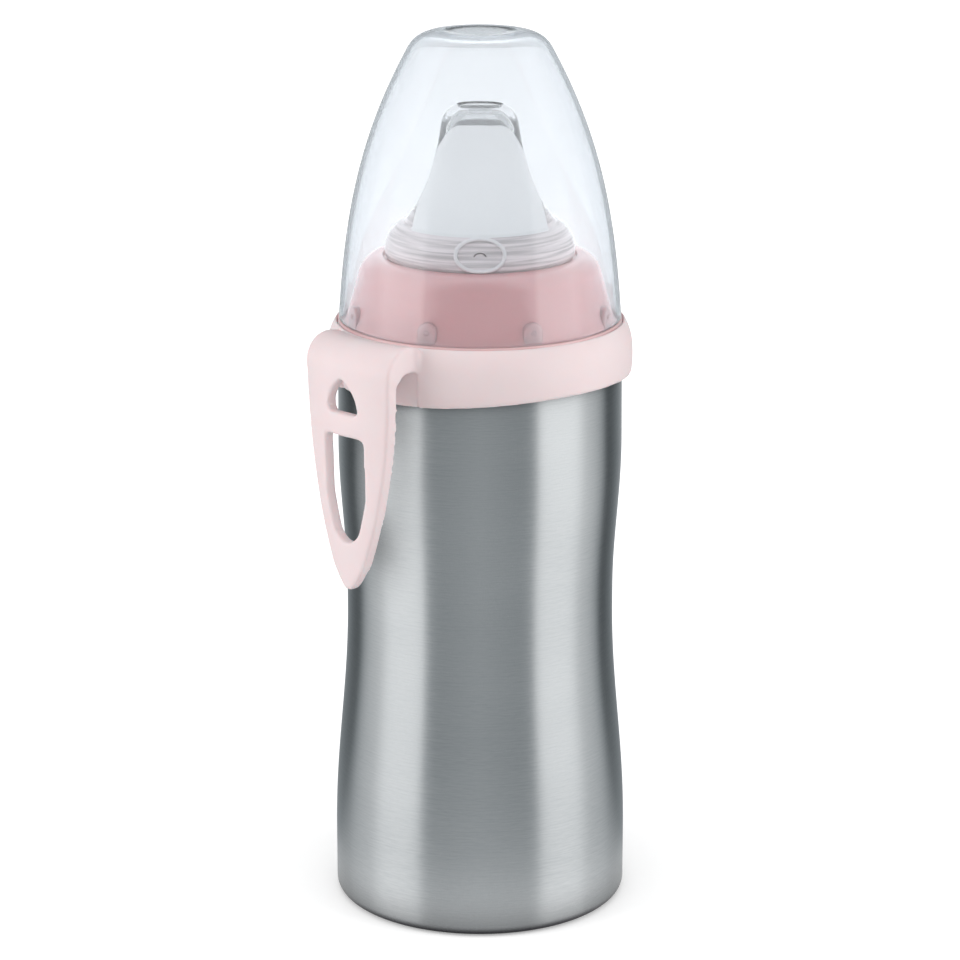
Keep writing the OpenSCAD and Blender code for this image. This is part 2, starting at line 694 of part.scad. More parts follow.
// Side of the cap from rim to shoulder, drawn inside the outer skin by t
function cap_side(t) = cubic(
    [cap_r - t, cap_z0], [cap_r - t - 0.1 * cap_shoulder_in, cap_z0 + 0.374 * cap_h],
    [cap_r - t - 0.326 * cap_shoulder_in, cap_z0 + 0.64 * cap_h],
    [cap_r - t - cap_shoulder_in, cap_z1 - cap_shoulder_drop], 14);

// Rounded edge of the cap's top, ending on the flat top at height z
function cap_edge(t, z) =
    let (
        p = [cap_r - t - cap_shoulder_in, cap_z1 - cap_shoulder_drop],
        q = [p[0] - 0.273 * cap_edge_w, z],
        r = [p[0] - cap_edge_w, z])
    [for (i = [1:6]) let (u = i / 6, v = 1 - u) v^2 * p + 2 * u * v * q + u^2 * r];

module cap() {
    color("lightcyan") rotate_extrude() polygon(concat(
        cap_side(0), cap_edge(0, cap_z1),
        [[cap_disc_r, cap_z1], [cap_disc_r - 0.3, cap_z1 - cap_disc_depth], [0, cap_z1 - cap_disc_depth]],
        [[0, cap_z1 - cap_top_t]],
        flip(cap_edge(cap_t, cap_z1 - cap_top_t)), flip(cap_side(cap_t))));
}

outer_shell();
inner_liner();
vacuum_base();
base_cover();
sealing_bead();
getter();
clip_ring();
screw_ring();
spout();
cap();
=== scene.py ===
import bmesh
import bpy
import math
import numpy as np
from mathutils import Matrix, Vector


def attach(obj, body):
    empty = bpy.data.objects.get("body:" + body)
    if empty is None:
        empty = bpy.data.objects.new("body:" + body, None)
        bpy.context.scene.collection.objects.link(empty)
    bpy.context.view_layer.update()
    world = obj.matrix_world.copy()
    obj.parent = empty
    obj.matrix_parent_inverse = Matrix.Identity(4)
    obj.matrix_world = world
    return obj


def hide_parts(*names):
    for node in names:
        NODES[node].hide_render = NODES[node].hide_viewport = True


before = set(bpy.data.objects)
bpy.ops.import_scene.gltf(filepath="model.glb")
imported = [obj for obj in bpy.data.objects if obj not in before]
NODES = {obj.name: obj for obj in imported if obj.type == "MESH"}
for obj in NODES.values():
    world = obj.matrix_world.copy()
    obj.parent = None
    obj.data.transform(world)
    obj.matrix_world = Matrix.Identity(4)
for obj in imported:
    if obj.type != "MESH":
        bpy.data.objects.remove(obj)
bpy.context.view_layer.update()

MM = 0.001

# ---------------------------------------------------------------- sizes, as in the CAD source, in mm

BASE_R, FOOT_H, BASE_EDGE_R, RIM_IN_R = 32.9, 15.0, 2.4, 29.5
WAIST_R, WAIST_Z, WAIST_LEN = 29.85, 70.0, 4.0
CHEST_R, CHEST_Z = 31.55, 106.0
COLLAR_R, SHOULDER_EDGE_R, SHOULDER_Z, SHELL_T = 31.4, 4.2, 128.6, 0.5
NECK_R, WELD_H = 24.6, 2.0
THREAD_PITCH, THREAD_DEPTH, THREAD_ROOT_W, THREAD_CREST_W = 4.0, 1.0, 2.1, 1.2
THREAD_START, RING_TURNS = 6.9, 1.0

LEDGE_Z0, LEDGE_Z1 = 128.8, 132.2
FLANGE_Z0, FLANGE_Z1, FLANGE_R = 132.4, 133.9, 31.25
LEDGE_R, LIP_IN_R = 26.1, 31.5
BAND_R, BAND_IN_R, BAND_Z0, BAND_Z1 = 33.75, 31.7, 120.15, 133.6
BAND_BULGE_Z, BAND_TOP_IN, BAND_FOOT_IN = 126.0, 1.9, 0.9
BAND_SKIRT, BAND_DIP = 6.25, 2.2
CLIP_TURN, CLIP_R, CLIP_LEAN, CLIP_T, CLIP_W = 225.0, 39.2, 3.0, 2.7, 25.0
CLIP_TIP_Z, CLIP_TIP_R, CLIP_FULL_Z = 79.6, 3.6, 127.0
ARM_Z0, ARM_Z1, ARM_EDGE_Z, ARM_EDGE_R = 128.6, 134.5, 128.5, 6.0
SLOT_Z0, SLOT_Z1, SLOT_W, SLOT_RIM = 90.3, 114.1, 12.4, 3.7
WINDOW_Z0, WINDOW_W, WINDOW_H = 119.2, 8.8, 7.0
RECESS_DEPTH, RECESS_HALF = 1.35, 21.5

RING_BORE_R, RING_LIP_BORE_R, RING_SEAL_BORE_R = 25.9, 24.9, 24.3
RING_HOLE_R, RING_SEAT_R, RING_FOOT_R = 18.7, 21.2, 29.25
SEAL_Z0, SEAL_Z1, RING_INNER_Z, RING_SEAT_Z, RING_Z1 = 143.65, 145.05, 145.2, 147.1, 148.0
LIP_BORE_Z = 141.95
RING_SLOPE, RING_EDGE_R = 0.28, 4.8
PAD_COUNT, PAD_W, PAD_H, PAD_FACE_R, BUMP_R, BUMP_H = 8, 4.4, 4.6, 29.5, 0.8, 0.3

SPOUT_NECK_R, SPOUT_WALL, SEAL_FLANGE_R = 18.4, 1.9, 24.0
SPOUT_COLLAR_R, COLLAR_Z0, COLLAR_Z1 = 20.9, 147.25, 155.25
BILL_FOOT_R, BILL_FOOT_Z, BILL_Z1 = 17.4, 154.45, 181.15
BILL_TIP_HW, BILL_TIP_HD, BILL_TAPER, TIP_LEN = 7.8, 4.6, 4.1, 4.0
MOUTH_DISH, MOUTH_T = 1.2, 1.3
VENT_W, VENT_H, VENT_TILT, VENT_DEPTH, VENT_WALL, VENT_RISE = 11.2, 8.2, 30.0, 0.9, 0.75, 0.5

CAP_R, CAP_Z0, CAP_Z1, CAP_T = 31.15, 134.0, 196.9, 1.0
CAP_SHOULDER_IN, CAP_SHOULDER_DROP, CAP_EDGE_W, CAP_DISC_R = 15.5, 3.6, 7.4, 7.9

# ---------------------------------------------------------------- sizes of the dressing alone, in mm

TIP_OUT = 1.4  # the clip's tip stands this much further out than the solid's
CLIP_WIDER = 0.25  # on each side, of which rounding the edges takes some off again
TIP_ROUND = 6.0  # height over which the clip's tip rounds off
SLOT_NARROWER = 0.3  # on each side
WINDOW_TALLER = 0.5
ARM_FILLET = 1.2  # at the sides of the arm, against the band
ARM_INNER_R = 3.0  # between the arm's underside and the back of the clip
DISC_DEPTH = 0.12
PAD_EDGE_R = 0.5
SLIT_W, MOUTH_SLIT_W = 0.4, 5.0
VENT_RIM_R = 0.3
VOXEL, RELAX_ROUNDS = 0.3, 26  # for the clip ring, whose edges all run into each other


# ---------------------------------------------------------------- helpers for shapes

def mix(a, b, t):
    return a + (b - a) * t


def ease(t):
    return (1 - math.cos(math.pi * t)) / 2


def smoothstep(a, b, x):
    t = min(1.0, max(0.0, (x - a) / (b - a)))
    return t * t * (3 - 2 * t)


def span(a, b, n):
    """n + 1 evenly spaced numbers from a to b."""
    return [mix(a, b, i / n) for i in range(n + 1)]


def arc(cx, cy, r, a0, a1, n):
    """n + 1 points of a circle, from angle a0 to a1 in degrees."""
    return [(cx + r * math.cos(math.radians(a)), cy + r * math.sin(math.radians(a))) for a in span(a0, a1, n)]


def cubic(a, b, c, d, n):
    """n + 1 points of a Bezier curve."""
    out = []
    for t in span(0, 1, n):
        s = 1 - t
        k = (s ** 3, 3 * s * s * t, 3 * s * t * t, t ** 3)
        out.append(tuple(k[0] * a[j] + k[1] * b[j] + k[2] * c[j] + k[3] * d[j] for j in range(2)))
    return out


def rounded(points, n=4):
    """Polyline through (x, y) or (x, y, radius) corners; a corner with a radius is rounded."""
    out = []
    count = len(points)
    for i, p in enumerate(points):
        if len(p) < 3 or p[2] <= 0:
            out.append((p[0], p[1]))
            continue
        here = Vector((p[0], p[1]))
        before = Vector(points[i - 1][:2]) - here
        after = Vector(points[(i + 1) % count][:2]) - here
        cut = min(p[2], before.length * 0.49, after.length * 0.49)
        a = here + before.normalized() * cut
        b = here + after.normalized() * cut
        for k in range(n + 1):
            t = k / n
            q = a * (1 - t) ** 2 + here * 2 * t * (1 - t) + b * t * t
            out.append((q.x, q.y))
    return out


def unique(points):
    """The closed outline without points that repeat the one before."""
    out = [points[0]]
    for p in points[1:]:
        if abs(p[0] - out[-1][0]) + abs(p[1] - out[-1][1]) > 1e-5:
            out.append(p)
    if abs(out[0][0] - out[-1][0]) + abs(out[0][1] - out[-1][1]) < 1e-5:
        out.pop()
    return out


class Shape:
    """Points in mm and faces, gathered before they become a mesh."""

    def __init__(self):
        self.points = []
        self.faces = []

    def add(self, points, faces):
        base = len(self.points)
        self.points += [tuple(p) for p in points]
        self.faces += [tuple(base + i for i in f) for f in faces]
        return self

    def lathe(self, profile, n=256):
        """Closed profile of (radius, height) turned about Z. A profile may touch the axis at its ends."""
        profile = unique(profile)
        points, index = [], []
        for r, z in profile:
            if r < 1e-6:
                index.append([len(points)] * n)
                points.append((0, 0, z))
            else:
                index.append(list(range(len(points), len(points) + n)))
                points += [(r * math.cos(2 * math.pi * i / n), r * math.sin(2 * math.pi * i / n), z)
                           for i in range(n)]
        faces = []
        for j in range(len(profile)):
            a, b = index[j], index[(j + 1) % len(profile)]
            if profile[j][0] < 1e-6 and profile[(j + 1) % len(profile)][0] < 1e-6:
                continue
            for i in range(n):
                k = (i + 1) % n
                quad = [a[i], a[k], b[k], b[i]]
                corner = [q for m, q in enumerate(quad) if q != quad[m - 1]]
                if len(corner) > 2:
                    faces.append(corner)
        return self.add(points, faces)

    def loft(self, rings, cap_ends=True):
        """Rings of equal length, joined in order; the ends are closed flat."""
        n = len(rings[0])
        points = [p for ring in rings for p in ring]
        faces = []
        for j in range(len(rings) - 1):
            for i in range(n):
                k = (i + 1) % n
                faces.append((j * n + i, j * n + k, (j + 1) * n + k, (j + 1) * n + i))
        if cap_ends:
            last = (len(rings) - 1) * n
            faces.append(tuple(range(n - 1, -1, -1)))
            faces.append(tuple(last + i for i in range(n)))
        return self.add(points, faces)

    def prism(self, outline, lo, hi, place):
        """Flat outline of (u, v) carried from lo to hi; place(u, v, w) gives a point."""
        return self.loft([[place(u, v, w) for u, v in outline] for w in (lo, hi)])

    def mesh(self, name):
        mesh = bpy.data.meshes.new(name)
        mesh.from_pydata([(x * MM, y * MM, z * MM) for x, y, z in self.points], [], self.faces)
        mesh.validate()
        return outward(mesh)


def outward(mesh):
    """Turns all faces outwards, by the sign of the volume."""
    bm = bmesh.new()
    bm.from_mesh(mesh)
    bmesh.ops.recalc_face_normals(bm, faces=bm.faces)
    if bm.calc_volume(signed=True) < 0:
        bmesh.ops.reverse_faces(bm, faces=bm.faces)
    bm.to_mesh(mesh)
    bm.free()
    return mesh


def as_object(shape, name):
    mesh = shape.mesh(name) if isinstance(shape, Shape) else shape
    obj = bpy.data.objects.new(name, mesh)
    bpy.context.scene.collection.objects.link(obj)
    return obj


def evaluated(obj, name):
    bpy.context.view_layer.update()
    graph = bpy.context.evaluated_depsgraph_get()
    mesh = bpy.data.meshes.new_from_object(obj.evaluated_get(graph))
    mesh.name = name
    return mesh


def combine(base, steps, name):
    """base after a row of (operation, shape) booleans, as one mesh."""
    obj = as_object(base, name)
    tools = []
    for operation, shape in steps:
        tool = as_object(shape, name + "_tool")
        tools.append(tool)
        m = obj.modifiers.new("cut", "BOOLEAN")
        m.operation = operation
        m.object = tool
        m.solver = "MANIFOLD"
    mesh = evaluated(obj, name)
    for o in [obj] + tools:
        bpy.data.objects.remove(o)
    return mesh


def remeshed(mesh, voxel_mm):
    obj = as_object(mesh, "remesh")
    m = obj.modifiers.new("remesh", "REMESH")
    m.mode = "VOXEL"
    m.voxel_size = voxel_mm * MM
    out = evaluated(obj, mesh.name)
    bpy.data.objects.remove(obj)
    return out


def relax(mesh, rounds, weight):
    """Rounds of smoothing; weight(points) gives each point's share, from 0 to 1."""
    count = len(mesh.vertices)
    co = np.zeros(count * 3)
    mesh.vertices.foreach_get("co", co)
    co = co.reshape(-1, 3)
    edges = np.zeros(len(mesh.edges) * 2, int)
    mesh.edges.foreach_get("vertices", edges)
    a, b = edges.reshape(-1, 2).T
    degree = np.maximum(1, np.bincount(np.concatenate([a, b]), minlength=count))
    share = weight(co / MM)[:, None]
    for _ in range(rounds):
        total = np.stack([np.bincount(a, co[b, k], count) + np.bincount(b, co[a, k], count)
                          for k in range(3)], 1)
        co = co + 0.5 * share * (total / degree[:, None] - co)
    mesh.vertices.foreach_set("co", co.reshape(-1))
    mesh.update()


def smooth(mesh, degrees=None):
    mesh.polygons.foreach_set("use_smooth", [True] * len(mesh.polygons))
    if degrees:
        mesh.set_sharp_from_angle(angle=math.radians(degrees))
    mesh.update()


def piece(mesh, name, body, material, node):
    obj = as_object(mesh, name)
    obj.data.materials.clear()
    obj.data.materials.append(material)
    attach(obj, body)
    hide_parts(node)
    return obj


def upwards(u, v, w):
    """Place for a prism that rises along Z."""
    return (u, v, w)


# ---------------------------------------------------------------- helpers for materials

class Nodes:
    """Short way to write a node tree."""

    def __init__(self, name, tree=None):
        if tree is None:
            self.material = bpy.data.materials.new(name)
            self.material.use_nodes = True
            tree = self.material.node_tree
        self.tree = tree
        tree.nodes.clear()

    def new(self, kind, inputs=None, **settings):
        node = self.tree.nodes.new(kind)
        for key, value in settings.items():
            setattr(node, key, value)
        for key, value in (inputs or {}).items():
            socket = node.inputs[key]
            if isinstance(value, bpy.types.NodeSocket):
                self.tree.links.new(value, socket)
            else:
                socket.default_value = value
        return node

    def math(self, operation, *values):
        return self.new("ShaderNodeMath", dict(enumerate(values)), operation=operation).outputs[0]

    def grey_ramp(self, value, stops):
        """Grey that runs through stops of (position, level)."""
        node = self.new("ShaderNodeValToRGB", {0: value})
        marks = node.color_ramp.elements
        while len(marks) < len(stops):
            marks.new(0.5)
        for mark, (position, level) in zip(marks, stops):
            mark.position = position
            mark.color = (level, level, level, 1)
        return node.outputs[0]

    def range(self, value, lo, hi, out_lo=0.0, out_hi=1.0):
        """value carried from lo..hi to out_lo..out_hi, and held at the ends."""
        return self.new("ShaderNodeMapRange", {0: value, 1: lo, 2: hi, 3: out_lo, 4: out_hi}).outputs[0]

    def place(self, scale=(1, 1, 1)):
        """Object coordinates in metres, times scale."""
        where = self.new("ShaderNodeTexCoord").outputs["Object"]
        return self.new("ShaderNodeMapping", {"Vector": where, "Scale": scale}).outputs[0]

    def noise(self, scale, detail=2.0, roughness=0.5):
        """Noise with scale grains a metre along each axis."""
        return self.new("ShaderNodeTexNoise", {"Vector": self.place(scale), "Scale": 1.0, "Detail": detail,
                                               "Roughness": roughness}).outputs[0]

    def bump(self, height, distance, strength=1.0):
        return self.new("ShaderNodeBump", {"Height": height, "Distance": distance,
                                           "Strength": strength}).outputs[0]

    def blend(self, factor, first, second):
        """Mix of two colours, each a socket or a triple."""
        first, second = (c if isinstance(c, bpy.types.NodeSocket) else (*c, 1) for c in (first, second))
        return self.new("ShaderNodeMix", {0: factor, 6: first, 7: second}, data_type="RGBA").outputs[2]

    def mix(self, factor, first, second):
        """Mix of two numbers."""
        return self.new("ShaderNodeMix", {0: factor, 2: first, 3: second}).outputs[0]

    def painted_shade_factor(self, distance):
        """1 in the open, falling to 0 where another surface is closer than distance in metres; used to paint
        shade.
        """
        return self.new("ShaderNodeAmbientOcclusion", {"Distance": distance}, samples=8).outputs["AO"]

    def seen_straight(self):
        """1 for what the camera sees, also in a mirror or through something clear, and 0 for lighting."""
        path = self.new("ShaderNodeLightPath").outputs
        return self.math("MAXIMUM", self.math("MAXIMUM", path["Is Camera Ray"], path["Is Glossy Ray"]),
                         path["Is Transmission Ray"])

    def surface(self, inputs, volume=None):
        shader = self.new("ShaderNodeBsdfPrincipled", inputs)
        out = self.new("ShaderNodeOutputMaterial", {"Surface": shader.outputs[0]})
        if volume:
            self.tree.links.new(volume, out.inputs["Volume"])
        return self.material


def brushed_steel(name, dark, light, roughness, anisotropy, streak):
    """Steel brushed around Z: long fine streaks, with the gloss drawn out up and down. Its colour carries
    painted shade, darker where another piece stands close to it."""
    n = Nodes(name)
    fine = n.noise((320, 320, 3200), 3.0, 0.65)
    long = n.noise((40, 40, 2500))
    cloud = n.noise((30, 30, 60))
    grain = n.math("ADD", n.math("MULTIPLY", fine, 0.7), n.math("MULTIPLY", long, 0.3))
    soft = n.math("ADD", n.math("MULTIPLY", grain, 0.8), n.math("MULTIPLY", cloud, 0.2))
    return n.surface({
        # painted shade: the base colour runs to near black where another surface is close
        "Base Color": n.blend(n.range(n.painted_shade_factor(0.011), 0.3, 0.95), (0.04, 0.04, 0.045),
                              n.blend(n.range(soft, 0.3, 0.7), dark, light)),
        "Metallic": 1.0,
        "Roughness": n.range(grain, 0.3, 0.7, roughness - 0.05, roughness + 0.06),
        "Anisotropic": anisotropy,
        "Anisotropic Rotation": 0.25,
        "Tangent": n.new("ShaderNodeTangent", direction_type="RADIAL", axis="Z").outputs[0],
        "Normal": n.bump(grain, streak * MM, 1.0)})


def dull_metal(name, dark, light, roughness):
    n = Nodes(name)
    grain = n.noise((900, 900, 900), 3.0)
    return n.surface({
        "Base Color": n.blend(grain, dark, light),
        "Metallic": 0.6,
        "Roughness": n.range(grain, 0.2, 0.8, roughness - 0.08, roughness + 0.08),
        "Normal": n.bump(grain, 0.02 * MM, 0.6)})


# colour of the painted highlight on the screw ring's pads and flange rim
PAINTED_HIGHLIGHT_PINK = (0.88, 0.68, 0.69)


def pink_plastic(name, dark, light, roughness, grain_mm, gloss):
    """Moulded plastic: a faint cloud in the colour, a fine moulded grain and light that goes in a little.
    Points marked in the mesh carry a painted highlight, a paler pink."""
    n = Nodes(name)
    painted_highlight = n.new("ShaderNodeAttribute", attribute_name="painted_highlight").outputs["Fac"]
    cloud = n.noise((70, 70, 70))
    grain = n.noise((2600, 2600, 2600))
    return n.surface({
        # painted highlight: marked points blend to a paler pink
        "Base Color": n.blend(painted_highlight, n.blend(n.range(cloud, 0.35, 0.65), dark, light), PAINTED_HIGHLIGHT_PINK),
        "Specular IOR Level": gloss,
        "Roughness": n.range(grain, 0.3, 0.7, roughness - 0.03, roughness + 0.03),
        "Subsurface Weight": 0.35,
        "Subsurface Radius": (1.0, 0.45, 0.4),
        "Subsurface Scale": 0.0012,
        "IOR": 1.48,
        "Normal": n.bump(grain, grain_mm * MM, 0.5)})


def clear_plastic(name):
    """Clear plastic that takes a little more red than blue out of the light in it."""
    n = Nodes(name)
    flow = n.noise((35, 35, 12))
    fine = n.noise((400, 400, 120))
    inside = n.new("ShaderNodeVolumeAbsorption", {"Color": (0.38, 0.52, 0.66, 1), "Density": 130.0})
    return n.surface({
        "Base Color": n.blend(n.range(flow, 0.35, 0.65), (0.925, 0.93, 0.935), (0.94, 0.945, 0.95)),
        "Roughness": n.range(fine, 0.3, 0.7, 0.015, 0.04),
        "IOR": 1.49,
        "Transmission Weight": 0.96,
        "Normal": n.bump(flow, 0.02 * MM, 0.3)}, inside.outputs[0])


SILICONE_IOR = 1.2  # real silicone's 1.41 makes the clear tip too dark


def silicone(name):
    """Clear silicone whose frosted part is marked point by point in the mesh. The collar, which lies on the
    pink ring, is milky, has faint level lines and a painted pink tint that stands for the ring seen through
    it."""
    n = Nodes(name)
    frost = n.new("ShaderNodeAttribute", attribute_name="frost").outputs["Fac"]
    height = n.new("ShaderNodeSeparateXYZ", {0: n.place()}).outputs[2]
    tip = n.range(height, 0.156, 0.160)
    lines = n.noise((60, 60, 1800))
    cloud = n.noise((90, 90, 90))
    grain = n.noise((3500, 3500, 3500))
    clear = n.range(tip, 0.0, 1.0, n.range(lines, 0.35, 0.65, 0.08, 0.5), 0.92)
    return n.surface({
        # painted light: below the tip the base colour is tinted pink for the ring seen through the collar
        "Base Color": n.blend(frost, n.blend(tip, (1.0, 0.925, 0.93), (0.97, 0.975, 0.98)),
                              n.blend(cloud, (0.985, 0.985, 0.985), (1.0, 1.0, 1.0))),
        "Roughness": n.range(frost, 0.0, 1.0, 0.06, 0.6),
        "IOR": SILICONE_IOR,
        "Transmission Weight": n.range(frost, 0.0, 1.0, clear, 0.05),
        "Normal": n.bump(n.math("MULTIPLY", grain, frost), 0.02 * MM, 0.6)})


STEEL = brushed_steel("steel_shell", (0.51, 0.53, 0.54), (0.69, 0.705, 0.71), 0.37, 1.0, 0.003)
LINER = brushed_steel("steel_liner", (0.58, 0.59, 0.59), (0.70, 0.70, 0.70), 0.32, 0.6, 0.002)
SOLDER = dull_metal("solder", (0.16, 0.17, 0.19), (0.30, 0.31, 0.33), 0.5)
GETTER = dull_metal("getter", (0.28, 0.28, 0.28), (0.42, 0.42, 0.42), 0.6)
MATTE_PINK = pink_plastic("pink_matte", (0.89, 0.75, 0.758), (0.91, 0.775, 0.782), 0.46, 0.012, 0.5)
GLOSS_PINK = pink_plastic("pink_gloss", (0.88, 0.455, 0.455), (0.91, 0.485, 0.485), 0.14, 0.003, 0.95)
SILICONE = silicone("silicone")
CLEAR = clear_plastic("clear_plastic")


# ---------------------------------------------------------------- steel body

WAIST_Z0, WAIST_Z1 = WAIST_Z - WAIST_LEN / 2, WAIST_Z + WAIST_LEN / 2
BODY_TOP_Z = SHOULDER_Z - SHOULDER_EDGE_R


def body_r(z):
    """Outer radius of the steel body at height z."""
    if z < FOOT_H:
        return BASE_R
    if z < WAIST_Z0:
        return mix(BASE_R, WAIST_R, ease((z - FOOT_H) / (WAIST_Z0 - FOOT_H)))
    if z < WAIST_Z1:
        return WAIST_R
    if z < CHEST_Z:
        return mix(WAIST_R, CHEST_R, ease((z - WAIST_Z1) / (CHEST_Z - WAIST_Z1)))
    return mix(CHEST_R, COLLAR_R, (z - CHEST_Z) / (BODY_TOP_Z - CHEST_Z))


def shell_path(t):
    """Profile of the outer wall from its foot to its shoulder, at a depth t in it."""
    return (arc(BASE_R - BASE_EDGE_R, BASE_EDGE_R, BASE_EDGE_R - t, -90, 0, 14)
            + [(body_r(z) - t, z) for z in span(4, BODY_TOP_Z, 150)]
            + arc(COLLAR_R - SHOULDER_EDGE_R, BODY_TOP_Z, SHOULDER_EDGE_R - t, 6, 90, 16))


def build_shell():
    inner = NECK_R + 0.05
    profile = ([(RIM_IN_R, 0)] + shell_path(0)
               + [(inner + SHELL_T, SHOULDER_Z), (inner + SHELL_T, SHOULDER_Z + WELD_H)]
               + [(inner, SHOULDER_Z + WELD_H), (inner, SHOULDER_Z - SHELL_T)]
               + shell_path(SHELL_T)[::-1] + [(RIM_IN_R, SHELL_T)])
    mesh = Shape().lathe(profile).mesh("steel_body")
    smooth(mesh, 40)
    piece(mesh, "steel_body", "bottle", STEEL, "outer_shell")


# ---------------------------------------------------------------- clip ring

def band_edge_r(z):
    """Outer radius of the band, which bulges a little."""
    if z > BAND_BULGE_Z:
        return BAND_R - BAND_TOP_IN * ((z - BAND_BULGE_Z) / (BAND_Z1 - BAND_BULGE_Z)) ** 2.6
    return BAND_R - BAND_FOOT_IN * ((BAND_BULGE_Z - z) / (BAND_BULGE_Z - BAND_Z0)) ** 3


def plate_r(z):
    """Distance of the clip's front from the axis."""
    return mix(CLIP_R + TIP_OUT, CLIP_R + CLIP_LEAN, (z - CLIP_TIP_Z) / (ARM_EDGE_Z - CLIP_TIP_Z))


def clip_hw(z):
    """Half width of the clip, which ends in a round tip."""
    tip_c = CLIP_TIP_Z + CLIP_TIP_R
    u = max(0, min(1, (CLIP_FULL_Z - z) / (CLIP_FULL_Z - tip_c)))
    wide = CLIP_TIP_R + (CLIP_W / 2 - CLIP_TIP_R) * (1 - u * u) ** 0.9 - 0.37 * max(0, tip_c - z)
    end = max(0, min(1, (z - CLIP_TIP_Z) / TIP_ROUND))
    return wide * math.sqrt(1 - (1 - end) ** 2)


def slot_hw(z):
    """Half width of the strap slot, which has round ends."""
    low = min(1, (z - SLOT_Z0) / 3.2)
    high = min(1, (SLOT_Z1 - z) / 1.4)
    return (min(SLOT_W / 2 - SLOT_NARROWER, clip_hw(z) - SLOT_RIM) * math.sqrt(1 - (1 - low) ** 2)
            - 1.4 * (1 - math.sqrt(1 - (1 - high) ** 2)))


def mirrored(points):
    """Outline of the points and their mirror image across x = 0."""
    return unique(points + [(-x, z) for x, z in reversed(points)])


def band_steps():
    """The band with its ledge and lip, and what is cut from it: its wavy lower edge and the recess behind
    the clip."""
    band = Shape().lathe(rounded(
        [(BAND_IN_R, BAND_Z0), (BAND_IN_R, LEDGE_Z0), (LEDGE_R, LEDGE_Z0, 0.3), (LEDGE_R, LEDGE_Z1, 0.3),
         (LIP_IN_R, LEDGE_Z1), (LIP_IN_R, BAND_Z1 - 0.3), (LIP_IN_R + 0.15, BAND_Z1)]
        + [(band_edge_r(z), z) for z in span(BAND_Z1, BAND_Z0, 48)]))
    dip_r = BAND_R ** 2 / (2 * BAND_DIP)
    dip_c = SHOULDER_Z - BAND_SKIRT - dip_r
    edge = [(x, dip_c + math.sqrt(dip_r ** 2 - x * x)) for x in span(-40, 40, 160)]
    dip = Shape().prism(edge + [(40, 90), (-40, 90)], -50, 50, lambda u, v, w: (u, w, v))
    half = [math.radians(a) for a in span(-RECESS_HALF, RECESS_HALF, 60)]
    recess_r = BAND_R - RECESS_DEPTH
    sector = [(recess_r * math.cos(a), recess_r * math.sin(a)) for a in half]
    sector += [(45 * math.cos(a), 45 * math.sin(a)) for a in reversed(half)]
    recess = Shape().prism(sector, BAND_Z0 - 5, ARM_Z0, upwards)
    return band, [("DIFFERENCE", dip), ("DIFFERENCE", recess)]


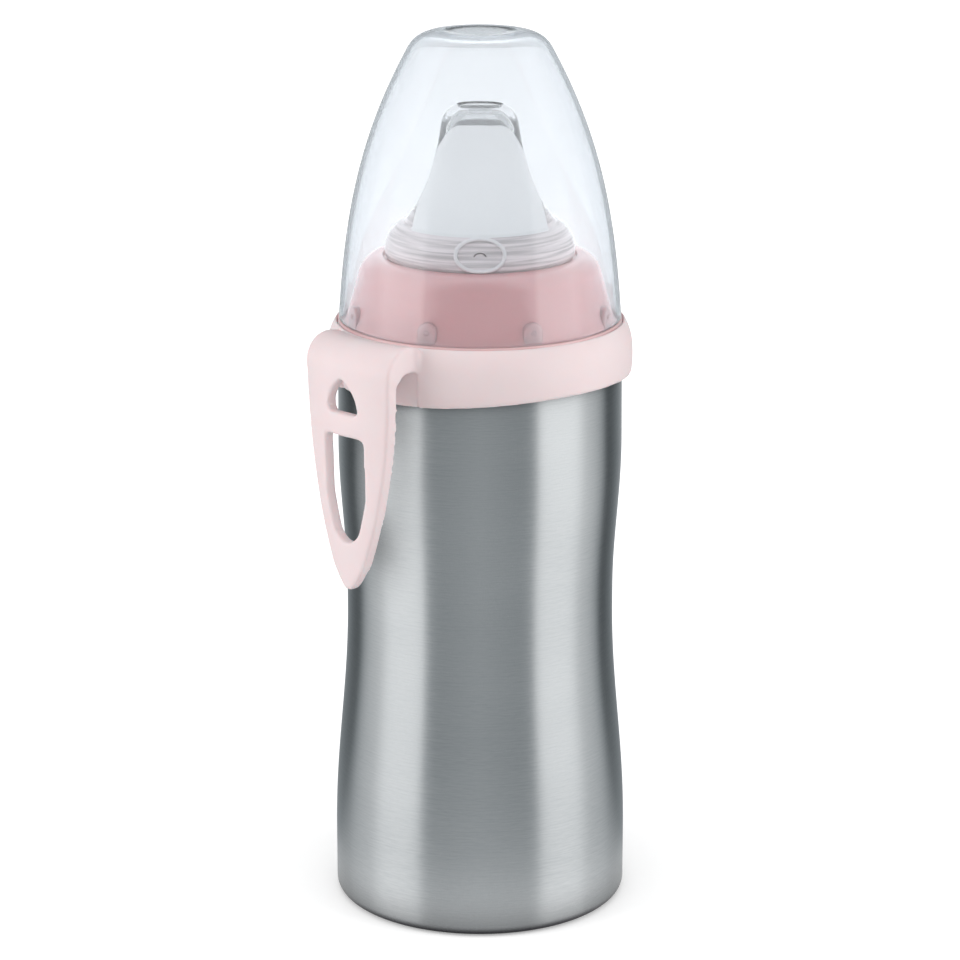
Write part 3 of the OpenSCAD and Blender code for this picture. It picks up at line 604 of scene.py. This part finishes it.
def clip_shape():
    """Arm, rounded shoulder and hanging plate, turned as one section and cut to their outline."""
    along_x = lambda u, v, w: (w, u, v)
    top_c = (plate_r(ARM_EDGE_Z) - ARM_EDGE_R, ARM_EDGE_Z)
    low_c = (plate_r(ARM_Z0 - ARM_INNER_R) - CLIP_T - ARM_INNER_R, ARM_Z0 - ARM_INNER_R)
    section = Shape().lathe(
        [(FLANGE_R + 0.4, LEDGE_Z0 + 0.4), (FLANGE_R + 0.4, LEDGE_Z1 - 0.3),
         (BAND_R - 1.6, BAND_Z1 - 0.5), (BAND_R + 0.2, ARM_Z1 - 0.25)]
        + arc(*top_c, ARM_EDGE_R, 90, 0, 24)
        + [(plate_r(z), z) for z in span(ARM_EDGE_Z - 0.5, CLIP_TIP_Z, 40)]
        + [(plate_r(z) - CLIP_T, z) for z in span(CLIP_TIP_Z, low_c[1] - 0.5, 40)]
        + arc(*low_c, ARM_INNER_R, 0, 90, 12)
        + [(BAND_R - RECESS_DEPTH - 0.4, ARM_Z0)], 360)
    outline = [(0.01, CLIP_TIP_Z - CLIP_WIDER)]
    for t in span(0.02, 1, 90):
        z = CLIP_TIP_Z + (CLIP_FULL_Z - CLIP_TIP_Z) * t * t
        outline.append((clip_hw(z) + CLIP_WIDER * min(1, (z - CLIP_TIP_Z) / 2),
                        z - CLIP_WIDER * max(0, 1 - (z - CLIP_TIP_Z) / 6)))
    outline = mirrored(outline + [(CLIP_W / 2 + 3, CLIP_FULL_Z + 0.5), (CLIP_W / 2 + 3, ARM_Z1 + 1)])
    side = WINDOW_W / 2
    window = mirrored(
        [(side - 0.7, WINDOW_Z0), (side, WINDOW_Z0 + 0.7)]
        + cubic((side, WINDOW_Z0 + 1), (side, WINDOW_Z0 + WINDOW_H * 0.5),
                (side * 0.55, WINDOW_Z0 + WINDOW_H * 0.85), (0.3, WINDOW_Z0 + WINDOW_H + WINDOW_TALLER), 24))
    heights = [mix(SLOT_Z0 + 0.02, SLOT_Z1 - 0.02, 2 * t * t if t < 0.5 else 1 - 2 * (1 - t) ** 2)
               for t in span(0, 1, 70)]
    slot = mirrored([(slot_hw(z), z) for z in heights])
    # seen from above, a fillet joins each side of the arm to the round band
    full_w, root_w = CLIP_W / 2 + CLIP_WIDER + 0.2, CLIP_W / 2 - 0.3
    fillet_y = root_w + ARM_FILLET
    fillet_x = math.sqrt((BAND_R + ARM_FILLET) ** 2 - fillet_y ** 2)
    turn = 180 + math.degrees(math.atan2(fillet_y, fillet_x))
    side_edge = ([(BAND_R - 4, root_w)] + arc(fillet_x, fillet_y, ARM_FILLET, turn, 270, 8)
                 + [(fillet_x + 4, full_w), (60, full_w)])
    plan = [(x, -y) for x, y in side_edge] + side_edge[::-1]
    return combine(section, [
        ("INTERSECT", Shape().prism(outline, 20, 60, along_x)),
        ("DIFFERENCE", Shape().prism(window, 20, 60, along_x)),
        ("DIFFERENCE", Shape().prism(slot, 20, 60, along_x)),
        ("INTERSECT", Shape().prism(plan, 60, 160, upwards))], "clip")


def clip_softness(p):
    """Share of the smoothing that each point gets: the clip's edges are rounder than the band's."""
    from_band = np.clip((np.hypot(p[:, 0], p[:, 1]) - 31.9) / 1.2, 0.14, 1.0)
    return from_band * np.where((p[:, 0] > 0) | (np.abs(p[:, 1]) > 17) | (p[:, 0] < 31), 0.5, 1.0)


def build_clip_ring():
    """Built with the clip along +X, then turned to its place."""
    band, cuts = band_steps()
    mesh = combine(band, cuts + [("UNION", clip_shape())], "clip_ring")
    mesh = remeshed(mesh, VOXEL)
    relax(mesh, RELAX_ROUNDS, clip_softness)
    c, s = math.cos(math.radians(CLIP_TURN)), math.sin(math.radians(CLIP_TURN))
    co = np.zeros(len(mesh.vertices) * 3)
    mesh.vertices.foreach_get("co", co)
    co = co.reshape(-1, 3)
    co = np.stack([co[:, 0] * c - co[:, 1] * s, co[:, 0] * s + co[:, 1] * c, co[:, 2]], 1)
    mesh.vertices.foreach_set("co", co.reshape(-1))
    smooth(mesh)
    ring = piece(mesh, "clip_ring_moulding", "clip", MATTE_PINK, "clip_ring")
    # the photograph's steel shows no mirror image of the clip
    ring.visible_glossy = False


# ---------------------------------------------------------------- screw ring

def thread_rib(shape, r, side, z, turn0, turns):
    """Helical rib on a cylinder of radius r; side is 1 outside the wall and -1 inside it."""
    n = int(100 * turns)
    fade = n * 5 / 40
    rings = []
    for i in range(n + 1):
        a = math.radians(turn0 + 360 * turns * i / n)
        h = z + THREAD_PITCH * turns * i / n
        k = max(0.12, min(1, i / fade, (n - i) / fade))
        root, crest = r - side * 0.35, r + side * THREAD_DEPTH * k
        section = rounded([(root, -THREAD_ROOT_W / 2), (crest, -THREAD_CREST_W / 2, 0.25),
                           (crest, THREAD_CREST_W / 2, 0.25), (root, THREAD_ROOT_W / 2)])
        rings.append([(q * math.cos(a), q * math.sin(a), h + w) for q, w in section])
    shape.loft(rings)


def ring_profile():
    """Closed section of the screw ring, with its flange, its sloping wall and its stepped bore."""
    foot_z = FLANGE_Z1 + 1
    slope = math.atan(RING_SLOPE)
    edge_z = RING_Z1 - RING_EDGE_R
    wall_top = edge_z + RING_EDGE_R * math.sin(slope)
    edge_r = RING_FOOT_R - RING_SLOPE * (wall_top - foot_z) - RING_EDGE_R * math.cos(slope)
    return rounded(
        [(RING_BORE_R, FLANGE_Z0), (FLANGE_R, FLANGE_Z0, 0.2), (FLANGE_R, FLANGE_Z1, 0.5),
         (RING_FOOT_R + 0.5, FLANGE_Z1, 0.5), (RING_FOOT_R, foot_z, 0.4)]
        + arc(edge_r, edge_z, RING_EDGE_R, math.degrees(slope), 90, 24)
        + [(RING_SEAT_R + 0.1, RING_Z1, 0.25), (RING_SEAT_R, RING_SEAT_Z, 0.2),
           (RING_HOLE_R, RING_SEAT_Z, 0.3), (RING_HOLE_R, RING_INNER_Z),
           (RING_SEAL_BORE_R, RING_INNER_Z), (RING_SEAL_BORE_R, SEAL_Z0),
           (RING_LIP_BORE_R, SEAL_Z0), (RING_LIP_BORE_R, LIP_BORE_Z), (RING_BORE_R, LIP_BORE_Z)], 6)


def add_pad(shape, degrees):
    """Pad that centres the cap: a tab with a round top, soft edges and a small bump."""
    a = math.radians(degrees)
    place = lambda u, v, w: (w * math.cos(a) - u * math.sin(a), w * math.sin(a) + u * math.cos(a), v)
    round_z = FLANGE_Z1 + PAD_H - PAD_W / 2
    centre_z = round_z - 0.6
    tab = ([(-PAD_W / 2, FLANGE_Z1 - 0.3), (PAD_W / 2, FLANGE_Z1 - 0.3)]
           + arc(0, round_z, PAD_W / 2, 0, 180, 28))
    edge = PAD_FACE_R - PAD_EDGE_R
    levels = [(RING_BORE_R + 0.6, 0.0), (edge, 0.0)]
    levels += [(edge + PAD_EDGE_R * math.sin(math.radians(t)), PAD_EDGE_R * (1 - math.cos(math.radians(t))))
               for t in (20, 40, 60, 80)]
    levels.append((PAD_FACE_R, 0.9))
    rings = []
    for depth, draw in levels:
        k = 1 - draw / (PAD_W / 2)
        rings.append([place(u * k, centre_z + (v - centre_z) * k, depth) for u, v in tab])
    shape.loft(rings)
    bump_c = PAD_FACE_R - BUMP_R + BUMP_H
    shape.loft([[place(r * math.cos(math.radians(15 * j)), round_z + r * math.sin(math.radians(15 * j)), w)
                 for j in range(24)]
                for r, w in [(BUMP_R * math.sin(math.radians(t)), bump_c + BUMP_R * math.cos(math.radians(t)))
                             for t in (100, 85, 70, 60, 50, 40, 30, 20, 10, 3)]])


RING_THREAD_TURN = 60  # where the ring's thread begins, in degrees from +X
PAD_PAINTED_HIGHLIGHT, FLANGE_PAINTED_HIGHLIGHT = 0.35, 0.6  # painted highlight on the pads and the flange's rim, a paler pink than the rest of the ring


def build_screw_ring():
    shape = Shape().lathe(ring_profile())
    plain = len(shape.points)
    thread_z = SHOULDER_Z + THREAD_START - THREAD_PITCH / 2 + THREAD_PITCH * RING_THREAD_TURN / 360
    thread_rib(shape, RING_BORE_R, -1, thread_z, RING_THREAD_TURN, RING_TURNS)
    for i in range(PAD_COUNT):
        add_pad(shape, 360 * (i + 0.5) / PAD_COUNT - 90)
    mesh = shape.mesh("screw_ring_moulding")
    smooth(mesh, 38)
    # painted highlight: the pads and the flange's outer rim are marked to be paler
    painted_highlight = [PAD_PAINTED_HIGHLIGHT if i >= plain and z > FLANGE_Z1 - 0.5 and math.hypot(x, y) > RING_BORE_R
            else FLANGE_PAINTED_HIGHLIGHT if z < FLANGE_Z1 + 0.15 and math.hypot(x, y) > RING_FOOT_R + 0.3 else 0.0
            for i, (x, y, z) in enumerate(shape.points)]
    mesh.attributes.new("painted_highlight", "FLOAT", "POINT").data.foreach_set("value", painted_highlight)
    piece(mesh, "screw_ring_moulding", "ring", GLOSS_PINK, "screw_ring")


# ---------------------------------------------------------------- spout

SIDES = 224
OVAL = 0.72  # exponent of the bill's oval section
BILL_LEN = BILL_Z1 - BILL_FOOT_Z
CAVITY_R = SPOUT_NECK_R - SPOUT_WALL
MOUTH_FLOOR_Z = BILL_Z1 - MOUTH_DISH
BILL_ROOF_Z = MOUTH_FLOOR_Z - MOUTH_T
VENT_CENTRE = (0, -SPOUT_COLLAR_R + 1, mix(COLLAR_Z0, COLLAR_Z1, 0.54))
VENT_SIN, VENT_COS = math.sin(math.radians(VENT_TILT)), math.cos(math.radians(VENT_TILT))


def bill_half(t, tip, taper):
    """Half width or depth of the bill at a share t of its height, before its tip is rounded."""
    return tip + taper * (1 - t) + (BILL_FOOT_R - tip - taper) * (1 - t) ** 3.7


def tip_share(z, inset):
    """What is left of the bill's width where its tip rounds off."""
    end = max(0, min(1, (BILL_Z1 - inset - z) / TIP_LEN))
    return 0.42 + 0.58 * math.sqrt(1 - (1 - end) ** 2)


def superellipse(hw, hd, e, z):
    """Level ring, round at exponent 1 and squarer below it."""
    out = []
    for i in range(SIDES):
        a = 2 * math.pi * i / SIDES
        c, s = math.cos(a), math.sin(a)
        out.append((hw * math.copysign(abs(c) ** e, c), hd * math.copysign(abs(s) ** e, s), z))
    return out


def bill_ring(z, inset):
    t = (z - BILL_FOOT_Z) / BILL_LEN
    k = tip_share(z, inset)
    return superellipse((bill_half(t, BILL_TIP_HW, BILL_TAPER) - inset) * k,
                        (bill_half(t, BILL_TIP_HD, BILL_TAPER * 0.9) - inset) * k,
                        mix(1, OVAL, min(1, t * 1.5)), z)


def circle(r, z):
    return superellipse(r, r, 1, z)


def on_tip(hw, hd, drop):
    """Oval ring that lies on the rounded tip, or drop below it."""
    out = []
    for x, y, _ in superellipse(hw, hd, OVAL, 0):
        k = ((abs(x) / BILL_TIP_HW) ** (2 / OVAL) + (abs(y) / BILL_TIP_HD) ** (2 / OVAL)) ** (OVAL / 2)
        end = 1 - math.sqrt(max(0, 1 - (max(0, k - 0.42) / 0.58) ** 2))
        out.append((x, y, BILL_Z1 - TIP_LEN * end - drop))
    return out


def frost_edge(x):
    """Height of the upper edge of the frosted skin at a distance x from the middle."""
    x = abs(x)
    return 177.1 - 0.012 * x * x if x < 5 else 176.8 - 6.1 * ((x - 5) / 4.6) ** 1.7


def vent_place(u, v, w):
    """Point of the vent: u across, v up along it and w out of it."""
    return (VENT_CENTRE[0] + u, VENT_CENTRE[1] - w * VENT_COS + v * VENT_SIN,
            VENT_CENTRE[2] + w * VENT_SIN + v * VENT_COS)


def vent_oval(inset, w):
    return [vent_place((VENT_W / 2 - inset) * math.cos(2 * math.pi * i / 96),
                       (VENT_H / 2 - inset) * math.sin(2 * math.pi * i / 96), w) for i in range(96)]


def spout_outer_rings():
    """Rings up the outside: sealing flange, neck, collar, bill, rounded tip and the dish of the mouth."""
    collar = (cubic((SPOUT_COLLAR_R - 1.6, COLLAR_Z0), (SPOUT_COLLAR_R - 0.4, COLLAR_Z0),
                    (SPOUT_COLLAR_R, COLLAR_Z0 + 0.8), (SPOUT_COLLAR_R, COLLAR_Z0 + 2), 10)
              + cubic((SPOUT_COLLAR_R, COLLAR_Z0 + 2.2), (SPOUT_COLLAR_R, mix(COLLAR_Z0, COLLAR_Z1, 0.6)),
                      (BILL_FOOT_R + 1.6, COLLAR_Z1 - 0.8), (BILL_FOOT_R + 0.1, COLLAR_Z1 - 0.25), 24))
    below = rounded([(CAVITY_R, SEAL_Z0), (SEAL_FLANGE_R, SEAL_Z0, 0.3), (SEAL_FLANGE_R, SEAL_Z1, 0.3),
                     (SPOUT_NECK_R, SEAL_Z1), (SPOUT_NECK_R, COLLAR_Z0)])
    rings = [circle(r, z) for r, z in unique(below + collar)]
    rings += [bill_ring(z, 0) for z in span(COLLAR_Z1 - 0.05, BILL_Z1 - TIP_LEN, 60)]
    rings += [bill_ring(BILL_Z1 - TIP_LEN * (1 - math.sin(math.radians(a))), 0) for a in span(4, 64, 20)]
    dish_hw, dish_hd = BILL_TIP_HW * 0.3 + BILL_TIP_HD * 0.55, BILL_TIP_HD * 0.55
    rings += [on_tip(dish_hw + d, dish_hd + d, drop) for d, drop in ((0.22, 0), (0.06, 0.07), (0, 0.25))]
    rings += [superellipse(dish_hw - d, dish_hd - d, OVAL, MOUTH_FLOOR_Z + h)
              for d, h in ((0.05, 0.3), (0.15, 0.1), (0.4, 0.0), (1.2, -0.03), (2.2, -0.05))]
    return rings


def spout_inner_rings():
    """Rings down the inside, from the roof under the mouth to the sealing flange."""
    roof = tip_share(BILL_ROOF_Z, SPOUT_WALL)
    hw, hd = (BILL_TIP_HW - SPOUT_WALL) * roof, (BILL_TIP_HD - SPOUT_WALL) * roof
    rings = [superellipse(hw * k, hd * k, OVAL, BILL_ROOF_Z) for k in (0.3, 0.8)]
    rings += [bill_ring(z, SPOUT_WALL) for z in span(BILL_ROOF_Z, BILL_FOOT_Z, 60)]
    rings += [circle(mix(BILL_FOOT_R - SPOUT_WALL, CAVITY_R, k), mix(BILL_FOOT_Z, BILL_FOOT_Z - 2, k))
              for k in (0.4, 0.8, 1)]
    return rings + [circle(CAVITY_R, SEAL_Z0 + 0.2)]


def spout_skin():
    """Outside and inside joined at the foot, and each closed at the top: a hollow bill with a thick end."""
    outer, inner = spout_outer_rings(), spout_inner_rings()
    rings = outer + inner
    mouth = len(outer) - 1
    faces = []
    for j in range(len(rings)):
        if j == mouth:
            continue
        k = (j + 1) % len(rings)
        for i in range(SIDES):
            m = (i + 1) % SIDES
            faces.append((j * SIDES + i, j * SIDES + m, k * SIDES + m, k * SIDES + i))
    faces.append(tuple(mouth * SIDES + i for i in range(SIDES)))
    faces.append(tuple((mouth + 1) * SIDES + i for i in range(SIDES - 1, -1, -1)))
    return Shape().add([p for ring in rings for p in ring], faces)


def vent_cup():
    """Oval cup of the vent with a round rim, cut off just above the pink ring."""
    rim = [(0, -2), (0, VENT_RISE - VENT_RIM_R)] + [
        (VENT_RIM_R - VENT_RIM_R * math.cos(math.radians(a)),
         VENT_RISE - VENT_RIM_R + VENT_RIM_R * math.sin(math.radians(a))) for a in (20, 40, 60, 80, 90)]
    cup = Shape().loft([vent_oval(i, w) for i, w in rim])
    below = Shape().prism([(-30, -30), (30, -30), (30, 30), (-30, 30)], 120, RING_Z1 + 0.15, upwards)
    return combine(cup, [("DIFFERENCE", below)], "vent_cup")


def spout_cuts():
    """Hollow of the vent, the slit of the mouth and the bowed slit of the vent."""
    floor_w = VENT_RISE - VENT_DEPTH
    hollow = Shape().loft([vent_oval(i, w) for i, w in [
        (VENT_WALL + 0.8, floor_w), (VENT_WALL + 0.2, floor_w + 0.05), (VENT_WALL + 0.05, floor_w + 0.25),
        (VENT_WALL, VENT_RISE - 0.15), (VENT_WALL - 0.12, VENT_RISE + 0.02), (VENT_WALL - 0.12, 3)]])
    a, b = MOUTH_SLIT_W / 2, SLIT_W / 2
    mouth = Shape().prism([(-a, -b), (a, -b), (a, b), (-a, b)], BILL_ROOF_Z - 1, MOUTH_FLOOR_Z + 1, upwards)
    bow = [(r * math.cos(math.radians(t)), h * math.sin(math.radians(t)) - 0.4)
           for r, h, angles in ((1.5, 1.2, span(15, 165, 20)), (1.15, 0.85, span(165, 15, 20)))
           for t in angles]
    return [("DIFFERENCE", hollow), ("DIFFERENCE", mouth),
            ("DIFFERENCE", Shape().prism(bow, -3.2, 1, vent_place))]


def frost_at(x, y, z):
    """How frosted the silicone is: the bill's skin up to its frosted edge, and a little on the vent's rim."""
    if z > COLLAR_Z1 - 0.3:
        t = (z - BILL_FOOT_Z) / BILL_LEN
        reach = math.hypot(x / bill_half(t, BILL_TIP_HW, BILL_TAPER),
                           y / bill_half(t, BILL_TIP_HD, BILL_TAPER * 0.9))
        if reach > 0.93:
            return 1 - smoothstep(-0.12, 0.12, z - frost_edge(x))
    dx, dy, dz = (a - b for a, b in zip((x, y, z), VENT_CENTRE))
    reach = math.hypot(dx / (VENT_W / 2), (dy * VENT_SIN + dz * VENT_COS) / (VENT_H / 2))
    on_rim = y < -15 and dz * VENT_SIN - dy * VENT_COS > -0.1 and 0.8 < reach < 1.01
    return 0.6 if on_rim else 0.0


def build_spout():
    mesh = combine(spout_skin(), [("UNION", vent_cup())] + spout_cuts(), "spout_moulding")
    smooth(mesh, 34)
    frost = [frost_at(*(c / MM for c in v.co)) for v in mesh.vertices]
    mesh.attributes.new("frost", "FLOAT", "POINT").data.foreach_set("value", frost)
    piece(mesh, "spout_moulding", "spout", SILICONE, "spout")


# ---------------------------------------------------------------- cap

def cap_side(n):
    """Outer profile of the cap from its rim to its shoulder."""
    h = CAP_Z1 - CAP_Z0
    r = CAP_R
    return cubic((r, CAP_Z0), (r - 0.1 * CAP_SHOULDER_IN, CAP_Z0 + 0.374 * h),
                 (r - 0.326 * CAP_SHOULDER_IN, CAP_Z0 + 0.64 * h),
                 (r - CAP_SHOULDER_IN, CAP_Z1 - CAP_SHOULDER_DROP), n)


def cap_edge(n):
    """Outer profile over the cap's shoulder, to its flat top."""
    p = (CAP_R - CAP_SHOULDER_IN, CAP_Z1 - CAP_SHOULDER_DROP)
    q = (p[0] - 0.273 * CAP_EDGE_W, CAP_Z1)
    r = (p[0] - CAP_EDGE_W, CAP_Z1)
    return [tuple((1 - u) ** 2 * p[j] + 2 * u * (1 - u) * q[j] + u * u * r[j] for j in range(2))
            for u in span(0, 1, n)]


def build_cap():
    """The wall is equally thick all over, because a clear wall that tapers shows dark wedges. For the same
    reason each flat face has rings close to its edge, which keep its shading flat."""
    top, disc_z = CAP_Z1 - CAP_T - 0.01, CAP_Z1 - DISC_DEPTH
    outer = cap_side(70)[1:] + cap_edge(28)[1:]
    disc = rounded([outer[-1], (CAP_DISC_R, CAP_Z1, 0.5), (CAP_DISC_R - 1.6, disc_z, 0.5)]
                   + [(r, disc_z) for r in (CAP_DISC_R - 2.2, CAP_DISC_R - 3, 3, 0)])
    inner = []
    for (r0, z0), (r1, z1), (r, z) in zip(outer[:-2], outer[2:], outer[1:-1]):
        run = math.hypot(r1 - r0, z1 - z0)
        inner.insert(0, (r - CAP_T * (z1 - z0) / run, z - CAP_T * (r0 - r1) / run))
    rim = [(CAP_R - d, CAP_Z0 + h) for d, h in
           ((CAP_T, 0.3), (CAP_T - 0.1, 0.08), (CAP_T - 0.3, 0), (0.3, 0), (0.1, 0.08), (0.01, 0.3))]
    profile = outer + disc[1:] + [(r, top) for r in (0, 3, 6, 7.4)] + inner + rim
    mesh = Shape().lathe(profile, 320).mesh("cap_moulding")
    smooth(mesh, 50)
    piece(mesh, "cap_moulding", "cap", CLEAR, "cap")


# ---------------------------------------------------------------- stage

def build_floor():
    """White floor that keeps the bottle's shadow, adds a painted contact shadow round its foot, and turns
    pure white away from it.
    """
    shape = Shape().lathe([(0, 0), (60, 0), (200, 0), (600, 0), (4000, 0), (4000, -1), (0, -1)], 96)
    floor = as_object(shape, "floor")
    n = Nodes("floor")
    where = n.new("ShaderNodeTexCoord").outputs["Object"]
    far = n.new("ShaderNodeVectorMath", {0: where}, operation="LENGTH").outputs["Value"]
    grain = n.noise((60, 60, 60))
    paper = n.new("ShaderNodeBsdfDiffuse", {"Color": n.blend(grain, (0.79, 0.79, 0.79), (0.8, 0.8, 0.8))})
    # painted shadow: the floor's glow is dimmed where the bottle stands close
    painted_contact_shadow = n.range(n.painted_shade_factor(0.045), 0.25, 0.95, 0.55, 1.0)
    level = n.math("MULTIPLY", n.range(far, 0.08, 0.5, 0.56, 1.0), painted_contact_shadow)
    glow = n.new("ShaderNodeEmission", {"Color": (1, 1, 1, 1), "Strength": n.math(
        "MULTIPLY", n.seen_straight(), level)})
    both = n.new("ShaderNodeAddShader", {0: paper.outputs[0], 1: glow.outputs[0]})
    n.new("ShaderNodeOutputMaterial", {"Surface": both.outputs[0]})
    floor.data.materials.append(n.material)


STUDIO_R = 560
STUDIO_PROFILE = [(45, 0.6), (80, 0.6), (140, 0.6), (260, 0.6), (STUDIO_R - 60, 0.6), (STUDIO_R, 30),
                  (STUDIO_R, 200), (STUDIO_R, 400), (STUDIO_R, 640), (STUDIO_R * 0.8, 820),
                  (STUDIO_R * 0.4, 900), (20, 920)]
# levels around the room, from the camera's side at 0 to the back at 1: white panels at both sides
WALL_STOPS = [(0, 0.17), (0.2, 0.12), (0.24, 0.15), (0.27, 1.0), (0.45, 1.0), (0.51, 0.45), (0.62, 0.28),
              (0.66, 0.05), (0.72, 0.06), (0.81, 0.12), (0.9, 0.25), (1, 0.35)]
GROUND_STOPS = [(0, 0.59), (0.19, 0.48), (0.24, 0.53), (0.27, 1.0), (0.36, 1.0), (0.56, 0.82), (0.63, 0.48),
                (0.67, 0.1), (0.72, 0.12), (0.81, 0.25), (0.9, 0.41), (1, 0.57)]
ROOF_LEVEL = 0.45
IN_WALL_LEVEL = 0.95
# clear surfaces that a ray has passed when it leaves along a clear wall, and when it leaves through the cap
# after a mirroring inside it
IN_WALL, IN_CAP = 2.0, 4.0


def studio_level(n):
    """Brightness of the room and, apart, the rays that see it."""
    where = n.new("ShaderNodeTexCoord").outputs["Object"]
    x, y, z = n.new("ShaderNodeSeparateXYZ", {0: where}).outputs
    turn = n.math("DIVIDE", n.math("ABSOLUTE", n.math("ARCTAN2", x, n.math("MULTIPLY", y, -1))), math.pi)
    out = n.math("SQRT", n.math("ADD", n.math("MULTIPLY", x, x), n.math("MULTIPLY", y, y)))
    # ground, walls and roof, run into each other by height
    wall = n.math("MULTIPLY", n.grey_ramp(turn, WALL_STOPS), n.range(z, 0.18, 0.3, 2.3, 1.0))
    ground = n.math("MULTIPLY", n.grey_ramp(turn, GROUND_STOPS), n.range(out, 0.07, 0.45, 0.3, 1.78))
    ground = n.math("ADD", ground, n.range(out, 0.05, 0.2, 0.5, 0.0))
    level = n.mix(n.range(z, 0.002, 0.03), ground, wall)
    level = n.mix(n.range(z, 0.4, 0.6), level, ROOF_LEVEL)
    # light that has passed clear walls sees brighter sides and an even grey
    path = n.new("ShaderNodeLightPath").outputs
    passed = path["Transmission Depth"]
    in_cap, in_wall = n.math("COMPARE", passed, IN_CAP, 0.5), n.math("COMPARE", passed, IN_WALL, 0.5)
    level = n.math("MAXIMUM", level, n.math("MULTIPLY", in_cap, n.range(turn, 0.2, 0.29, 0.0, 2.4)))
    level = n.mix(in_wall, level, IN_WALL_LEVEL)
    rays = n.math("ADD", n.math("ADD", in_cap, in_wall), n.math("LESS_THAN", passed, 0.5))
    rays = n.math("MULTIPLY", n.math("GREATER_THAN", path["Glossy Depth"], 0.5), rays)
    return level, n.math("MULTIPLY", rays, n.range(out, 0.04, 0.055))


def build_studio():
    """Round room about the bottle, which only reflections show: white panels at both sides, grey in front
    and dark behind the sides. Light that has passed any other number of clear walls sees the white world."""
    shape = Shape().loft([[(r * math.cos(math.radians(3 * i)), r * math.sin(math.radians(3 * i)), z)
                           for i in range(120)] for r, z in STUDIO_PROFILE], cap_ends=False)
    mesh = bpy.data.meshes.new("studio")
    mesh.from_pydata([(x * MM, y * MM, z * MM) for x, y, z in shape.points], [], shape.faces)
    studio = as_object(mesh, "studio")
    n = Nodes("studio")
    level, shown = studio_level(n)
    glow = n.new("ShaderNodeEmission", {
        "Color": n.blend(n.range(level, 0.2, 1.1), (0.86, 0.95, 1.0), (1, 1, 1)), "Strength": level})
    clear = n.new("ShaderNodeBsdfTransparent")
    both = n.new("ShaderNodeMixShader", {0: shown, 1: clear.outputs[0], 2: glow.outputs[0]})
    n.new("ShaderNodeOutputMaterial", {"Surface": both.outputs[0]})
    n.material.cycles.emission_sampling = "NONE"
    studio.data.materials.append(n.material)
    studio.visible_camera = False
    studio.visible_diffuse = False
    studio.visible_shadow = False


def area_light(name, azimuth, elevation, distance, width, height, power):
    """Soft panel aimed at the bottle. Azimuth 0 is the camera's side, and it grows towards +X."""
    light = bpy.data.lights.new(name, "AREA")
    light.shape = "RECTANGLE"
    light.size, light.size_y = width, height
    light.energy = power
    obj = bpy.data.objects.new(name, light)
    a, e = math.radians(azimuth), math.radians(elevation)
    target = Vector((0, 0, 0.1))
    away = Vector((math.sin(a) * math.cos(e), -math.cos(a) * math.cos(e), math.sin(e)))
    obj.location = target + distance * away
    obj.rotation_euler = (target - obj.location).to_track_quat("-Z", "Y").to_euler()
    obj.visible_glossy = False
    bpy.context.scene.collection.objects.link(obj)


def build_lights():
    area_light("left_panel", -75, 22, 1.0, 0.7, 0.9, 5.6)
    area_light("right_panel", 75, 22, 1.0, 0.7, 0.9, 5.4)
    area_light("top_panel", 0, 80, 1.1, 0.9, 0.9, 2.5)
    area_light("front_fill", 0, 25, 1.3, 0.8, 0.6, 1.7)


def build_world():
    world = bpy.data.worlds.new("white")
    bpy.context.scene.world = world
    world.use_nodes = True
    n = Nodes("white", world.node_tree)
    sky = n.new("ShaderNodeBackground", {
        "Color": (1, 1, 1, 1), "Strength": n.range(n.seen_straight(), 0.0, 1.0, 0.3, 1.0)})
    n.new("ShaderNodeOutputWorld", {"Surface": sky.outputs[0]})


# as solved from the photograph, in metres and degrees
CAMERA_BACK, CAMERA_UP, CAMERA_DOWN = 0.710, 0.297, 15.79
CAMERA_LENS, CAMERA_SENSOR = 123.75, 36


def build_camera():
    camera = bpy.data.cameras.new("camera")
    camera.lens = CAMERA_LENS
    camera.sensor_width = CAMERA_SENSOR
    obj = bpy.data.objects.new("camera", camera)
    obj.location = (0, -CAMERA_BACK, CAMERA_UP)
    obj.rotation_euler = (math.radians(90 - CAMERA_DOWN), 0, 0)
    bpy.context.scene.collection.objects.link(obj)
    bpy.context.scene.camera = obj


def dress_inner_parts():
    for node, material in (("inner_liner", LINER), ("vacuum_base", LINER), ("base_cover", STEEL),
                           ("sealing_bead", SOLDER), ("getter", GETTER)):
        mesh = NODES[node].data
        mesh.materials.clear()
        mesh.materials.append(material)


bpy.context.scene.view_settings.view_transform = "Standard"
build_camera()
build_world()
build_floor()
build_studio()
build_lights()
dress_inner_parts()
build_shell()
build_clip_ring()
build_screw_ring()
build_spout()
build_cap()
